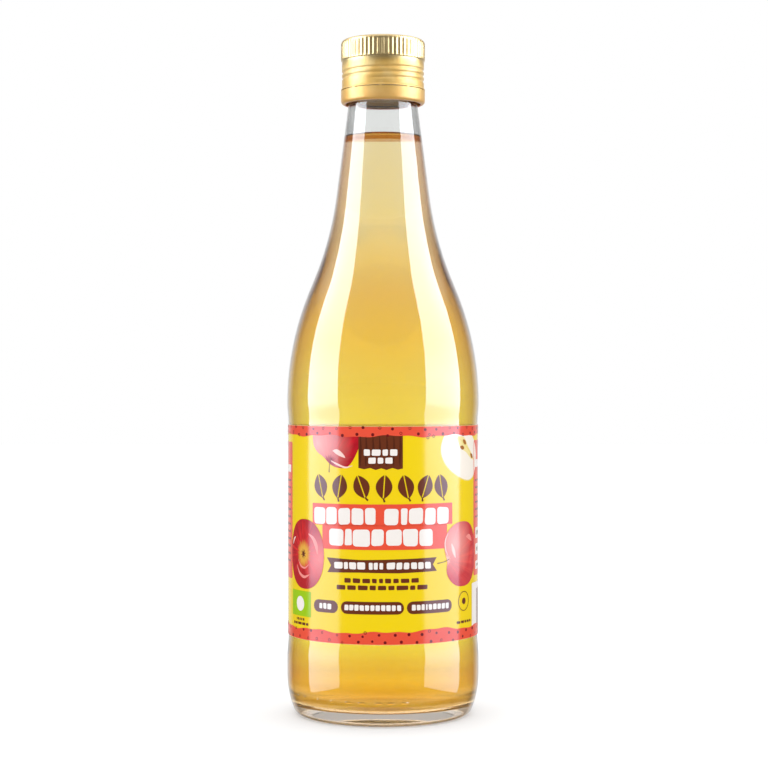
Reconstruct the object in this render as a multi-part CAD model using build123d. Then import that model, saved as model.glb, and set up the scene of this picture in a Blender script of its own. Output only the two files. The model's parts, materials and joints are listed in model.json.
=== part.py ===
from build123d import *
import math
import os

# Half-litre clear glass vinegar bottle with a rolled-on aluminium screw cap and a wrap-round label.
# Millimetres, +Z up, the foot stands on z = 0 and the axis is the Z axis. The front faces -Y.

os.makedirs("parts", exist_ok=True)

# Overall sizes
HEIGHT = 252.0              # foot to the top of the cap
BODY_DIAMETER = 71.8        # straight part of the body
CAP_DIAMETER = 31.5         # over the grip ribs
CAP_HEIGHT = 24.0
WALL = 3.4                  # glass, square to the surface

# Shoulder and neck, stacked down from the cap
NECK_GAP = 0.6              # top of the cone below the foot of the cap
NECK_CONE = 33.9            # straight cone under the finish
NECK_TAPER = 7.47           # degrees from upright
SHOULDER_RISE = 77.4        # upright body to the foot of the cone
SHOULDER_RATIO = 1.1225     # hollow arc radius over full arc radius
SHOULDER_FLAT = 6.6         # straight run between the two arcs

# Foot and base
HEEL_HEIGHT = 15.0          # where the body starts to turn in
HEEL_RADIUS = 35.5
FOOT_RADIUS = 3.0           # tight turn under the heel
FOOT_WIDTH = 3.2            # flat standing ring
RING_EDGE = 0.9             # slope on the inner side of the ring
PUNT_HEIGHT = 3.4           # push-up under the base
BASE_THICKNESS = 5.2        # at the edge of the base
BASE_RISE = 2.0             # the inside of the base rises to the axis
CORNER_RADIUS = 6.5         # inside corner between wall and base

# Glass finish under the cap
BEAD_GAP = 0.9              # cap band to locking bead
BEAD_EDGE = 0.7             # rounding and slope of the bead
BEAD_HEIGHT = 2.9
TUCK_GAP = 0.6              # curled cap edge to the underside of the bead
THREAD_GAP = 0.85           # cap skirt to the plain finish
LIP_RADIUS = 1.2
BORE_RADIUS_LIP = 0.8       # rounding inside the mouth
NECK_STEP = 1.6             # bead to the top of the neck cone

# Label seat and label
PANEL_DEPTH = 0.45          # shallow seat in the body
PANEL_EDGE = 0.9            # sloped edge of the seat
LABEL_BOTTOM = 30.0
LABEL_DROP = 8.1            # shoulder start down to the label's top edge
LABEL_MARGIN = 2.6          # seat beyond the label, top and bottom
LABEL_THICKNESS = 0.24

# Contents
FILL_DROP = 36.7            # top of the cap down to the liquid

# Cap details
CAP_SHEET = 0.25            # aluminium
CAP_EDGE = 1.5              # rounded top edge
SKIRT_STEP = 0.35           # grip ribs and lower band stand out from the skirt
RIB_COUNT = 60
RIB_TOP = 1.2               # top of the cap down to the ribs
RIB_BAND = 7.5              # top of the cap down to the foot of the rib band
RIB_CUT = 0.9               # radius of the flute between two ribs
BAND_HEIGHT = 5.9           # lower band, foot of the cap up to its step
BAND_SLIT = 0.3             # height of the tear slit
SLIT_DROP = 0.45            # slit below the step
BRIDGE_COUNT = 9
BRIDGE_WIDTH = 1.0
BRIDGE_START = 26.3         # degrees, where the first bridge stands
TUCK_RADIUS = 1.3           # curl under the locking bead
TUCK_LIP = 0.3              # flat end of the curl
GROOVE_PITCH = 4.0          # rolled thread, right-handed
GROOVE_DEPTH = 0.55
GROOVE_SIZE = 1.1           # radius of the rolled groove
GROOVE_TURNS = 1.6
GROOVE_BOTTOM = 8.1         # foot of the cap up to the start of the groove
GROOVE_START = 55.0         # degrees, where the groove begins

# Raised mould marks on the heel, in degrees round from the front
MARK_Z = 9.2
MARK_RADIUS = 0.7
MARK_PROUD = 0.22
MARK_DOTS = (-61.5, -53.5, -41.5, -31.5)
MARK_BARS = (-20.5, -12.5, -2.5, 4.5, 13.0)
MARK_BAR = 1.5              # length of a bar without its round ends

# Clearance between pieces that touch all round
FIT = 0.02


def turned(edges):
    """One solid of revolution from a closed run of edges in the XZ plane."""
    return revolve(make_face(edges), Axis.Z)


def at(r, z):
    return (r, 0.0, z)


def arc(centre, radius, start, end):
    """Arc in the XZ plane between two angles in degrees, measured from +X towards +Z."""
    points = []
    for share in (0.0, 0.5, 1.0):
        turn = math.radians(start + (end - start) * share)
        points.append(at(centre[0] + radius * math.cos(turn), centre[1] + radius * math.sin(turn)))
    return ThreePointArc(*points)


def run(edges, *points):
    """Adds straight lines from the end of the last edge through the points."""
    here = edges[-1] @ 1
    for point in points:
        there = Vector(*point)
        if (there - here).length > 1e-6:
            edges.append(Line(here, there))
            here = there


# Shared radii and heights
body_r = BODY_DIAMETER / 2
cap_r = CAP_DIAMETER / 2
skirt_r = cap_r - SKIRT_STEP
skirt_in = skirt_r - CAP_SHEET
band_in = cap_r - CAP_SHEET
cap_z = HEIGHT - CAP_HEIGHT
bead_r = band_in - BEAD_GAP
finish_r = skirt_in - THREAD_GAP
neck_r = bead_r - NECK_STEP
neck_top = cap_z - NECK_GAP
neck_z = neck_top - NECK_CONE
taper = math.radians(NECK_TAPER)
neck_foot_r = neck_r + NECK_CONE * math.tan(taper)
shoulder_z = neck_z - SHOULDER_RISE
bore_r = neck_r - WALL / math.cos(taper)
lip_z = HEIGHT - CAP_SHEET
label_top = shoulder_z - LABEL_DROP
seat_r = body_r - PANEL_DEPTH
fill_z = HEIGHT - FILL_DROP


def shoulder_angle():
    """Steepest lean of the shoulder from upright, so that both arcs and the straight run fit."""
    low, high = taper + 1e-6, math.radians(80.0)
    for _ in range(80):
        lean = (low + high) / 2
        full = shoulder_radius(lean)
        inwards = full * (1 - math.cos(lean)) + SHOULDER_FLAT * math.sin(lean)
        inwards += SHOULDER_RATIO * full * (math.cos(taper) - math.cos(lean))
        if inwards < body_r - neck_foot_r:
            low = lean
        else:
            high = lean
    return low


def shoulder_radius(lean):
    """Radius of the full arc that makes the shoulder as tall as SHOULDER_RISE at this lean."""
    arcs = math.sin(lean) + SHOULDER_RATIO * (math.sin(lean) - math.sin(taper))
    return (SHOULDER_RISE - SHOULDER_FLAT * math.cos(lean)) / arcs


lean = shoulder_angle()
full_r = shoulder_radius(lean)
hollow_r = SHOULDER_RATIO * full_r
full_c = (body_r - full_r, shoulder_z)
hollow_c = (neck_foot_r + hollow_r * math.cos(taper), neck_z + hollow_r * math.sin(taper))


def shoulder(inset):
    """Full arc, straight run and hollow arc, moved square to the surface by the inset."""
    turn = math.degrees(lean)
    lower = arc(full_c, full_r - inset, 0.0, turn)
    upper = arc(hollow_c, hollow_r + inset, 180.0 + turn, 180.0 + NECK_TAPER)
    return [lower, Line(lower @ 1, upper @ 0), upper]


# Heel: a large arc off the body, then a tight one on to the standing ring
heel_c = (body_r - HEEL_RADIUS, HEEL_HEIGHT)
foot_drop = HEEL_HEIGHT - FOOT_RADIUS
foot_c = (heel_c[0] + math.sqrt((HEEL_RADIUS - FOOT_RADIUS) ** 2 - foot_drop**2), FOOT_RADIUS)
heel_turn = math.degrees(math.atan2(foot_c[1] - heel_c[1], foot_c[0] - heel_c[0]))
ring_in = foot_c[0] - FOOT_WIDTH


def dome(radius, edge_z, rise):
    """Arc from the axis, level there, down to a radius, and the sphere it belongs to."""
    size = (radius**2 + rise**2) / (2 * rise)
    half = math.asin(radius / size)
    middle = at(size * math.sin(half / 2), edge_z + rise - size * (1 - math.cos(half / 2)))
    return ThreePointArc(at(0.0, edge_z + rise), middle, at(radius, edge_z))


def inner_outline(inset, top_z):
    """Inside of the bottle from the axis at the base, up the wall to top_z, moved in by the inset."""
    wall_r = body_r - WALL - inset
    base_z = BASE_THICKNESS + inset
    corner = (wall_r - CORNER_RADIUS, base_z + CORNER_RADIUS)
    edges = [dome(corner[0], base_z, BASE_RISE), arc(corner, CORNER_RADIUS, -90.0, 0.0)]
    run(edges, at(wall_r, shoulder_z))
    edges.extend(shoulder(WALL + inset))
    cone_top = bore_r - inset / math.cos(taper)
    if top_z < neck_top:
        run(edges, at(cone_top + (neck_top - top_z) * math.tan(taper), top_z), at(0.0, top_z))
    else:
        run(edges, at(cone_top, neck_top), at(cone_top, top_z - BORE_RADIUS_LIP))
    return edges


# The glass: outside from the standing ring up to the lip, then back down the inside
outside = [dome(ring_in - RING_EDGE, RING_EDGE, PUNT_HEIGHT - RING_EDGE)]
run(outside, at(ring_in, 0.0), at(foot_c[0], 0.0))
outside.append(arc(foot_c, FOOT_RADIUS, -90.0, heel_turn))
outside.append(arc(heel_c, HEEL_RADIUS, heel_turn, 0.0))
seat_bottom = LABEL_BOTTOM - LABEL_MARGIN
seat_top = label_top + LABEL_MARGIN
run(outside, at(body_r, seat_bottom - PANEL_EDGE), at(seat_r, seat_bottom), at(seat_r, seat_top))
run(outside, at(body_r, seat_top + PANEL_EDGE), at(body_r, shoulder_z))
outside.extend(shoulder(0.0))
bead_z = cap_z + CAP_SHEET + TUCK_GAP
bead_top = bead_z + BEAD_HEIGHT
run(outside, at(neck_r, neck_top), at(neck_r, bead_z), at(bead_r - BEAD_EDGE, bead_z))
outside.append(arc((bead_r - BEAD_EDGE, bead_z + BEAD_EDGE), BEAD_EDGE, -90.0, 0.0))
run(outside, at(bead_r, bead_top - BEAD_EDGE), at(finish_r, bead_top))
run(outside, at(finish_r, lip_z - LIP_RADIUS))
outside.append(arc((finish_r - LIP_RADIUS, lip_z - LIP_RADIUS), LIP_RADIUS, 0.0, 90.0))
run(outside, at(bore_r + BORE_RADIUS_LIP, lip_z))
outside.append(arc((bore_r + BORE_RADIUS_LIP, lip_z - BORE_RADIUS_LIP), BORE_RADIUS_LIP, 90.0, 180.0))
inside = inner_outline(0.0, lip_z)
glass_outline = outside + inside
glass_outline.append(Line(inside[0] @ 0, outside[0] @ 0))
bottle_glass = turned(glass_outline)


# Mould marks: round dots and round-ended bars, part sunk in the heel
mark_r = heel_c[0] + math.sqrt(HEEL_RADIUS**2 - (HEEL_HEIGHT - MARK_Z) ** 2) - MARK_RADIUS + MARK_PROUD
dot = Sphere(MARK_RADIUS)
bar = Rot(0, 90, 0) * Cylinder(MARK_RADIUS, MARK_BAR)
bar += [Pos(end, 0, 0) * dot for end in (-MARK_BAR / 2, MARK_BAR / 2)]
for turns, mark in ((MARK_DOTS, dot), (MARK_BARS, bar)):
    bottle_glass += [Rot(0, 0, turn) * Pos(0, -mark_r, MARK_Z) * mark for turn in turns]

# The vinegar: fills the bottle up to the level, clear of the glass by the fit
vinegar_outline = inner_outline(FIT, fill_z)
vinegar_outline.append(Line(vinegar_outline[-1] @ 1, vinegar_outline[0] @ 0))
vinegar = turned(vinegar_outline)

# The label: a closed paper sleeve in its seat
label_in = seat_r + FIT
label_out = label_in + LABEL_THICKNESS
label_height = label_top - LABEL_BOTTOM
label = Pos(0, 0, LABEL_BOTTOM + label_height / 2) * (
    Cylinder(label_out, label_height) - Cylinder(label_in, label_height)
)

# The cap: one sheet, its outside and inside outlines a sheet apart
rib_foot = HEIGHT - RIB_BAND
step_z = cap_z + BAND_HEIGHT
cap_outline = [Line(at(0.0, HEIGHT), at(cap_r - CAP_EDGE, HEIGHT))]
cap_outline.append(arc((cap_r - CAP_EDGE, HEIGHT - CAP_EDGE), CAP_EDGE, 90.0, 0.0))
run(cap_outline, at(cap_r, rib_foot), at(skirt_r, rib_foot - SKIRT_STEP), at(skirt_r, step_z))
run(cap_outline, at(cap_r, step_z - SKIRT_STEP), at(cap_r, cap_z + TUCK_RADIUS))
tuck_c = (cap_r - TUCK_RADIUS, cap_z + TUCK_RADIUS)
cap_outline.append(arc(tuck_c, TUCK_RADIUS, 0.0, -90.0))
run(cap_outline, at(tuck_c[0] - TUCK_LIP, cap_z), at(tuck_c[0] - TUCK_LIP, cap_z + CAP_SHEET))
run(cap_outline, at(tuck_c[0], cap_z + CAP_SHEET))
cap_outline.append(arc(tuck_c, TUCK_RADIUS - CAP_SHEET, -90.0, 0.0))
sheet_slope = CAP_SHEET * math.tan(math.radians(22.5))
run(cap_outline, at(band_in, step_z - SKIRT_STEP - sheet_slope), at(skirt_in, step_z - sheet_slope))
crown_r = CAP_EDGE - CAP_SHEET
run(cap_outline, at(skirt_in, lip_z - crown_r))
cap_outline.append(arc((skirt_in - crown_r, lip_z - crown_r), crown_r, 0.0, 90.0))
run(cap_outline, at(0.0, lip_z), at(0.0, HEIGHT))
screw_cap = turned(cap_outline)

# Flutes between the grip ribs
flute_height = RIB_BAND - RIB_TOP
flute_r = cap_r - SKIRT_STEP + RIB_CUT
flute = Pos(flute_r, 0, HEIGHT - RIB_TOP - flute_height / 2) * Cylinder(RIB_CUT, flute_height)
screw_cap -= [place * flute for place in PolarLocations(0, RIB_COUNT)]

# Rolled thread: a groove outside and the same sheet pressed in behind it
groove_r = skirt_r - GROOVE_DEPTH + GROOVE_SIZE
groove_path = Helix(GROOVE_PITCH, GROOVE_PITCH * GROOVE_TURNS, groove_r)


def rolled(size):
    """Round-ended bar of the given radius along the thread."""
    start = groove_path @ 0
    end = groove_path @ 1
    profile = Plane(origin=start, z_dir=groove_path % 0) * Circle(size)
    bar = sweep(profile, path=groove_path, is_frenet=True)
    bar += Pos(start.X, start.Y, start.Z) * Sphere(size)
    bar += Pos(end.X, end.Y, end.Z) * Sphere(size)
    return Pos(0, 0, cap_z + GROOVE_BOTTOM) * Rot(0, 0, GROOVE_START) * bar


groove = rolled(GROOVE_SIZE)
pressed = rolled(GROOVE_SIZE + CAP_SHEET) & Pos(0, 0, cap_z + CAP_HEIGHT / 2) * Cylinder(
    skirt_r - CAP_SHEET / 2, CAP_HEIGHT
)
screw_cap = screw_cap - groove + (pressed - groove)

# Tear slit, left whole at the bridges
slit_z = step_z - SKIRT_STEP - SLIT_DROP
slit = Pos(0, 0, slit_z) * (Cylinder(cap_r + 1, BAND_SLIT) - Cylinder(skirt_in - 1, BAND_SLIT))
bridge = Pos(cap_r, 0, slit_z) * Box(6, BRIDGE_WIDTH, BAND_SLIT * 3)
slit -= [place * bridge for place in PolarLocations(0, BRIDGE_COUNT, start_angle=BRIDGE_START)]
screw_cap -= slit

for name, solid in (
    ("bottle_glass", bottle_glass),
    ("vinegar", vinegar),
    ("label", label),
    ("screw_cap", screw_cap),
):
    export_step(solid, f"parts/{name}.step")
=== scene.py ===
"""Looks of a half-litre clear glass vinegar bottle with a gold screw cap and a printed paper label.

Sizes in the classes are in millimetres and become metres as a mesh is made. +Z is up, the foot stands on
z = 0, the bottle's axis is the Z axis and the front of the label faces -Y.
"""

import json
import logging
import math
import random
from collections.abc import Callable, Sequence
from dataclasses import dataclass, field
from enum import Enum

import bpy
from mathutils import Euler, Matrix, Vector

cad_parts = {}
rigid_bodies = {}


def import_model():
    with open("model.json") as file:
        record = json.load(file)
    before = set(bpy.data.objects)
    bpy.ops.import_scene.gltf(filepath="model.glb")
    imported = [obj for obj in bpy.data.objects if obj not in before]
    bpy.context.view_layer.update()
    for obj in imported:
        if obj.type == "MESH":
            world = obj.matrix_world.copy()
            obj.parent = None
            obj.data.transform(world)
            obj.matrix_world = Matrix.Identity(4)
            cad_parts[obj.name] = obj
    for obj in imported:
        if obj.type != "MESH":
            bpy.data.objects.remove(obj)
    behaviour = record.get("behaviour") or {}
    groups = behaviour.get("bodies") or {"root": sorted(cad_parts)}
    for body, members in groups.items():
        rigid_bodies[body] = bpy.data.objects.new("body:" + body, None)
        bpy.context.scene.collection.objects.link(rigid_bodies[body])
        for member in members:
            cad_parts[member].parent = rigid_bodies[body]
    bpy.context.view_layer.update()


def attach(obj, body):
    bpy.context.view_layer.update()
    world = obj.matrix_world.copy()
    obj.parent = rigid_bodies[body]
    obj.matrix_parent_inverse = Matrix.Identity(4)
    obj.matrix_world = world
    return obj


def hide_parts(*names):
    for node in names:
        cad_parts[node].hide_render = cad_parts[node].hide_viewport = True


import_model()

LOG = logging.getLogger("vinegar_bottle")
MM = 0.001
ROUND = 192  # faces round the bottle and its contents
SMOOTH = 35.0  # degrees up to which an edge is shaded smooth
WELD = 2e-6  # metres within which doubled vertices are merged
CUT = 1e-7  # metres within which a cut passes through a vertex
Point = tuple[float, float]
Span = tuple[float, float, float, float]  # low, high and what they are mapped to
Colour = tuple[float, ...]
Stroke = tuple[Sequence[Point], Sequence[float]]  # points of a line and its widths there
Piece = bpy.types.Object
Socket = bpy.types.NodeSocket


class Slot(Enum):
    """The record's material slots."""

    GLASS = "clear_glass"
    VINEGAR = "cloudy_vinegar"
    LABEL = "label_paper"
    CAP = "gold_aluminium"


def linear(red: int, green: int, blue: int) -> Colour:
    """A screen colour of 0 to 255 as the linear colour that sockets take.

    Args:
        red: red channel.
        green: green channel.
        blue: blue channel.

    Returns:
        The linear colour, with 1 as its alpha.
    """
    shares = (channel / 255 for channel in (red, green, blue))
    light = (s / 12.92 if s <= 0.04045 else ((s + 0.055) / 1.055) ** 2.4 for s in shares)
    return (*light, 1.0)


class Ink(Enum):
    """Printing inks of the label."""

    YELLOW = linear(244, 212, 0)
    CORAL = linear(236, 82, 56)
    MAROON = linear(112, 18, 22)
    BROWN = linear(108, 50, 26)
    DARK_BROWN = linear(86, 38, 20)
    SEED_BROWN = linear(170, 104, 34)
    WHITE = linear(246, 240, 236)
    GREEN = linear(158, 204, 0)
    CREAM = linear(252, 244, 232)
    CORE = linear(248, 230, 160)
    RIND = linear(240, 222, 132)
    BLUSH = linear(246, 150, 142)
    GLINT = linear(252, 214, 206)


# Bench work shared by all pieces


def deselect() -> None:
    """Goes back to object mode with nothing selected."""
    if bpy.context.object is not None and bpy.context.object.mode != "OBJECT":
        bpy.ops.object.mode_set(mode="OBJECT")
    bpy.ops.object.select_all(action="DESELECT")


def take(piece: Piece) -> None:
    """Makes a piece the only selected and active one, in object mode.

    Args:
        piece: the piece to take.
    """
    deselect()
    piece.select_set(True)
    bpy.context.view_layer.objects.active = piece


def pick(piece: Piece, test: Callable[[Vector], bool], faces: bool = False) -> None:
    """Enters edit mode with what passes a test selected.

    Args:
        piece: the piece to work on.
        test: told a vertex's place or a face's centre in millimetres.
        faces: selects faces rather than vertices.
    """
    take(piece)
    mesh = piece.data
    mesh.vertices.foreach_set("select", [not faces and test(v.co / MM) for v in mesh.vertices])
    mesh.edges.foreach_set("select", [False] * len(mesh.edges))
    mesh.polygons.foreach_set("select", [faces and test(p.center / MM) for p in mesh.polygons])
    bpy.context.tool_settings.mesh_select_mode = (not faces, False, faces)
    bpy.ops.object.mode_set(mode="EDIT")


def apply_modifier(piece: Piece, kind: str, **settings: object) -> None:
    """Adds one modifier with its settings and applies it.

    Args:
        piece: the piece to change.
        kind: the modifier's type.
        settings: its properties by name.
    """
    take(piece)
    modifier = piece.modifiers.new(kind.title(), kind)
    for name, value in settings.items():
        setattr(modifier, name, value)
    bpy.ops.object.modifier_apply(modifier=modifier.name)


def push(piece: Piece, reach: Callable[[Vector], float], distance: float) -> None:
    """Presses a surface in or out along its normals.

    Args:
        piece: the piece to press.
        reach: share of the distance, 0 to 1, at a vertex's place in millimetres.
        distance: outwards if positive, in millimetres.
    """
    group = piece.vertex_groups.new(name="pressed")
    for vertex in piece.data.vertices:
        share = reach(vertex.co / MM)
        if share > 0.0:
            group.add([vertex.index], share, "REPLACE")
    apply_modifier(piece, "DISPLACE", strength=distance * MM, mid_level=0.0, vertex_group=group.name)
    piece.vertex_groups.clear()


def join(name: str, pieces: Sequence[Piece]) -> Piece:
    """Joins pieces into one with a new name.

    Args:
        name: name of the joined piece.
        pieces: what to join.

    Returns:
        The joined piece.
    """
    deselect()
    for piece in pieces:
        piece.select_set(True)
    bpy.context.view_layer.objects.active = pieces[0]
    if len(pieces) > 1:
        bpy.ops.object.join()
    pieces[0].name = pieces[0].data.name = name
    return pieces[0]


def smooth(piece: Piece, angle: float = SMOOTH) -> None:
    """Shades a piece smooth but for its edges sharper than an angle in degrees."""
    take(piece)
    bpy.ops.object.shade_smooth_by_angle(angle=math.radians(angle))


def settle(piece: Piece) -> None:
    """Merges doubled vertices, turns faces outwards and smooths the shading.

    Args:
        piece: the piece to settle.
    """
    pick(piece, lambda place: True)
    bpy.ops.mesh.remove_doubles(threshold=WELD)
    bpy.ops.mesh.normals_make_consistent(inside=False)
    smooth(piece)


def hand_over(piece: Piece, slot: Slot, finish: bpy.types.Material, *nodes: str) -> None:
    """Dresses a finished piece and ties it to the frame.

    Args:
        piece: the finished piece.
        slot: the record's slot it belongs to; not used.
        finish: its material.
        nodes: the CAD nodes that it stands for.
    """
    piece.data.materials.clear()
    piece.data.materials.append(finish)
    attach(piece, "root")
    if nodes:
        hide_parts(*nodes)
    LOG.info("%s: %d faces", piece.name, len(piece.data.polygons))


def trail(start: Vector, moves: Sequence[Vector]) -> None:
    """Merges what is selected to one vertex, carries it to a start and extrudes it into a wire.

    Args:
        start: from the merged vertex to the start, in metres.
        moves: from each point to the next, in metres.
    """
    bpy.ops.mesh.merge(type="CENTER")
    bpy.ops.transform.translate(value=start)
    for move in moves:
        bpy.ops.mesh.extrude_region_move(TRANSFORM_OT_translate={"value": move})


def drawn(name: str, points: Sequence[Vector]) -> Piece:
    """A wire drawn from a plane merged to one vertex and extruded from point to point.

    Args:
        name: name of the new piece.
        points: places in millimetres.

    Returns:
        The wire, in edit mode with only its last vertex selected.
    """
    deselect()
    bpy.ops.mesh.primitive_plane_add(size=MM)
    piece = bpy.context.object
    piece.name = piece.data.name = name
    bpy.context.tool_settings.mesh_select_mode = (True, False, False)
    bpy.ops.object.mode_set(mode="EDIT")
    bpy.ops.mesh.select_all(action="SELECT")
    trail(points[0] * MM, [(there - here) * MM for here, there in zip(points, points[1:])])
    return piece


def spun(name: str, outline: Sequence[Point], steps: int) -> Piece:
    """A body of revolution from an outline of (radius, height) points.

    Args:
        name: name of the new piece.
        outline: open run of points in millimetres, on the axis at both ends for a closed body.
        steps: how many faces go round.

    Returns:
        The piece with its doubles merged and its faces outwards.
    """
    piece = drawn(name, [Vector((r, 0.0, z)) for r, z in outline])
    bpy.ops.mesh.select_all(action="SELECT")
    bpy.ops.mesh.spin(steps=steps, angle=math.tau, center=(0.0, 0.0, 0.0), axis=(0.0, 0.0, 1.0))
    settle(piece)
    return piece


def arc(centre: Point, radius: float, start: float, end: float, step: float = 6.0) -> list[Point]:
    """Points along an arc in an outline.

    Args:
        centre: the arc's centre.
        radius: its radius.
        start: first angle in degrees, from outwards towards up.
        end: last angle.
        step: most degrees between two points.

    Returns:
        The points, both ends included.
    """
    count = max(1, math.ceil(abs(end - start) / step))
    turns = (math.radians(start + (end - start) * i / count) for i in range(count + 1))
    return [(centre[0] + radius * math.cos(t), centre[1] + radius * math.sin(t)) for t in turns]


def tidy(outline: Sequence[Point]) -> list[Point]:
    """An outline without points that lie on the one before.

    Args:
        outline: the points.

    Returns:
        The points kept.
    """
    kept = [outline[0]]
    for point in outline[1:]:
        if math.dist(point, kept[-1]) > 0.01:
            kept.append(point)
    return kept


def smoothstep(low: float, high: float, value: float) -> float:
    """0 below low, 1 above high and a soft slope between."""
    share = min(1.0, max(0.0, (value - low) / (high - low)))
    return share * share * (3.0 - 2.0 * share)


def leant(point: Sequence[float], lean: float, middle: Point) -> Point:
    """A point of a drawing, turned round the origin and carried to a middle.

    Args:
        point: the point.
        lean: angle in radians.
        middle: where the origin comes to lie.

    Returns:
        The new place.
    """
    x, y = point
    across = middle[0] + x * math.cos(lean) - y * math.sin(lean)
    return across, middle[1] + x * math.sin(lean) + y * math.cos(lean)


# Shader work shared by all finishes


@dataclass
class Graph:
    """A node tree under construction.

    Attributes:
        tree: the tree.
    """

    tree: bpy.types.NodeTree

    def add(self, kind: str, **settings: object) -> bpy.types.Node:
        """Adds a node and sets its properties.

        Args:
            kind: the node's type.
            settings: its properties by name.

        Returns:
            The node.
        """
        node = self.tree.nodes.new(kind)
        for name, value in settings.items():
            setattr(node, name, value)
        return node

    def feed(self, socket: Socket, value: object) -> None:
        """Links a socket to another one, or sets it to a value.

        Args:
            socket: the input to feed.
            value: a socket, a constant, or None to leave the input alone.
        """
        if isinstance(value, bpy.types.NodeSocket):
            self.tree.links.new(value, socket)
        elif value is not None:
            socket.default_value = value

    def math(self, operation: str, *values: object, clamp: bool = False) -> Socket:
        """The output of a math node.

        Args:
            operation: what the node does.
            values: up to three values or sockets.
            clamp: keeps the output between 0 and 1.

        Returns:
            The output.
        """
        node = self.add("ShaderNodeMath", operation=operation, use_clamp=clamp)
        for socket, value in zip(node.inputs, values):
            self.feed(socket, value)
        return node.outputs[0]

    def vector(self, operation: str, *values: object) -> bpy.types.Node:
        """A vector math node fed with vectors or sockets.

        Args:
            operation: what the node does.
            values: vectors or sockets.

        Returns:
            The node.
        """
        node = self.add("ShaderNodeVectorMath", operation=operation)
        for socket, value in zip(node.inputs, values):
            self.feed(socket, value)
        return node

    def mix(self, factor: object, first: object, second: object, blend: str = "MIX") -> Socket:
        """Two colours mixed by a factor.

        Args:
            factor: share of the second colour.
            first: the first colour.
            second: the second colour.
            blend: how they are mixed.

        Returns:
            The mixed colour.
        """
        node = self.add("ShaderNodeMix", data_type="RGBA", blend_type=blend)
        for index, value in ((0, factor), (6, first), (7, second)):
            self.feed(node.inputs[index], value)
        return node.outputs[2]

    def between(
        self, value: Socket, low: float, high: float, start: float = 0.0, end: float = 1.0
    ) -> Socket:
        """A value's soft step from low to high, mapped from start to end.

        Args:
            value: the value.
            low: where the step begins.
            high: where it ends.
            start: output at low.
            end: output at high.

        Returns:
            The mapped value.
        """
        node = self.add("ShaderNodeMapRange", interpolation_type="SMOOTHSTEP")
        for index, given in enumerate((value, low, high, start, end)):
            self.feed(node.inputs[index], given)
        return node.outputs["Result"]

    def split(self, vector: Socket) -> Sequence[Socket]:
        """The three parts of a vector.

        Args:
            vector: the vector.

        Returns:
            Its x, y and z.
        """
        node = self.add("ShaderNodeSeparateXYZ")
        self.feed(node.inputs[0], vector)
        return node.outputs

    def length(self, vector: Socket) -> Socket:
        """The length of a vector."""
        return self.vector("LENGTH", vector).outputs["Value"]

    def radius(self, place: Socket) -> Socket:
        """How far a place lies from the bottle's axis."""
        return self.length(self.vector("MULTIPLY", place, (1.0, 1.0, 0.0)).outputs["Vector"])

    def noise(self, place: object, scale: float, detail: float = 2.0, rough: float = 0.5) -> Socket:
        """Noise of 0 to 1 at a place.

        Args:
            place: where the noise is read.
            scale: its scale.
            detail: how many finer octaves it has.
            rough: weight of the finer octaves.

        Returns:
            The noise.
        """
        node = self.add("ShaderNodeTexNoise")
        self.feed(node.inputs["Vector"], place)
        self.feed(node.inputs["Scale"], scale)
        self.feed(node.inputs["Detail"], detail)
        self.feed(node.inputs["Roughness"], rough)
        return node.outputs["Fac"]

    def ramp(self, value: Socket, stops: Sequence[tuple[float, Colour]]) -> Socket:
        """A colour ramp over a value of 0 to 1.

        Args:
            value: the value.
            stops: places from 0 to 1 and their colours.

        Returns:
            The colour.
        """
        node = self.add("ShaderNodeValToRGB")
        elements = node.color_ramp.elements
        elements.remove(elements[1])
        elements[0].position, elements[0].color = stops[0]
        for place, colour in stops[1:]:
            elements.new(place).color = colour
        self.feed(node.inputs["Fac"], value)
        return node.outputs["Color"]

    def grey(self, level: Socket) -> Socket:
        """A level as a grey colour.

        Args:
            level: the level.

        Returns:
            The colour.
        """
        mixed = self.add("ShaderNodeCombineColor")
        for socket in mixed.inputs:
            self.feed(socket, level)
        return mixed.outputs[0]

    def place(self) -> Socket:
        """Object coordinates, in metres."""
        return self.add("ShaderNodeTexCoord").outputs["Object"]

    def bump(self, height: Socket, strength: float, distance: float) -> Socket:
        """A normal bumped by a height; the distance is in metres.

        Args:
            height: the height, 0 to 1.
            strength: share of the effect.
            distance: what a height of 1 stands for.

        Returns:
            The normal.
        """
        node = self.add("ShaderNodeBump")
        node.inputs["Strength"].default_value = strength
        node.inputs["Distance"].default_value = distance
        self.feed(node.inputs["Height"], height)
        return node.outputs["Normal"]


class Effect:
    """A shader node group with named inputs and outputs."""

    def __init__(self, name: str, inputs: dict[str, str], outputs: dict[str, str]) -> None:
        """Makes the empty group.

        Args:
            name: the group's name.
            inputs: input names and socket kinds.
            outputs: output names and socket kinds.
        """
        self.tree = bpy.data.node_groups.new(name, "ShaderNodeTree")
        for sockets, way in ((inputs, "INPUT"), (outputs, "OUTPUT")):
            for label, kind in sockets.items():
                self.tree.interface.new_socket(label, in_out=way, socket_type=f"NodeSocket{kind}")
        self.graph = Graph(self.tree)
        self.inputs = self.graph.add("NodeGroupInput").outputs
        self.outputs = self.graph.add("NodeGroupOutput").inputs

    def placed(self, graph: Graph, **values: object) -> dict[str, Socket]:
        """Puts the group in a material.

        Args:
            graph: the material's nodes.
            values: values or sockets by input name, with _ for a space.

        Returns:
            The group's outputs by name.
        """
        node = graph.add("ShaderNodeGroup", node_tree=self.tree)
        for name, value in values.items():
            graph.feed(node.inputs[name.replace("_", " ")], value)
        return {socket.name: socket for socket in node.outputs}


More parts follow.
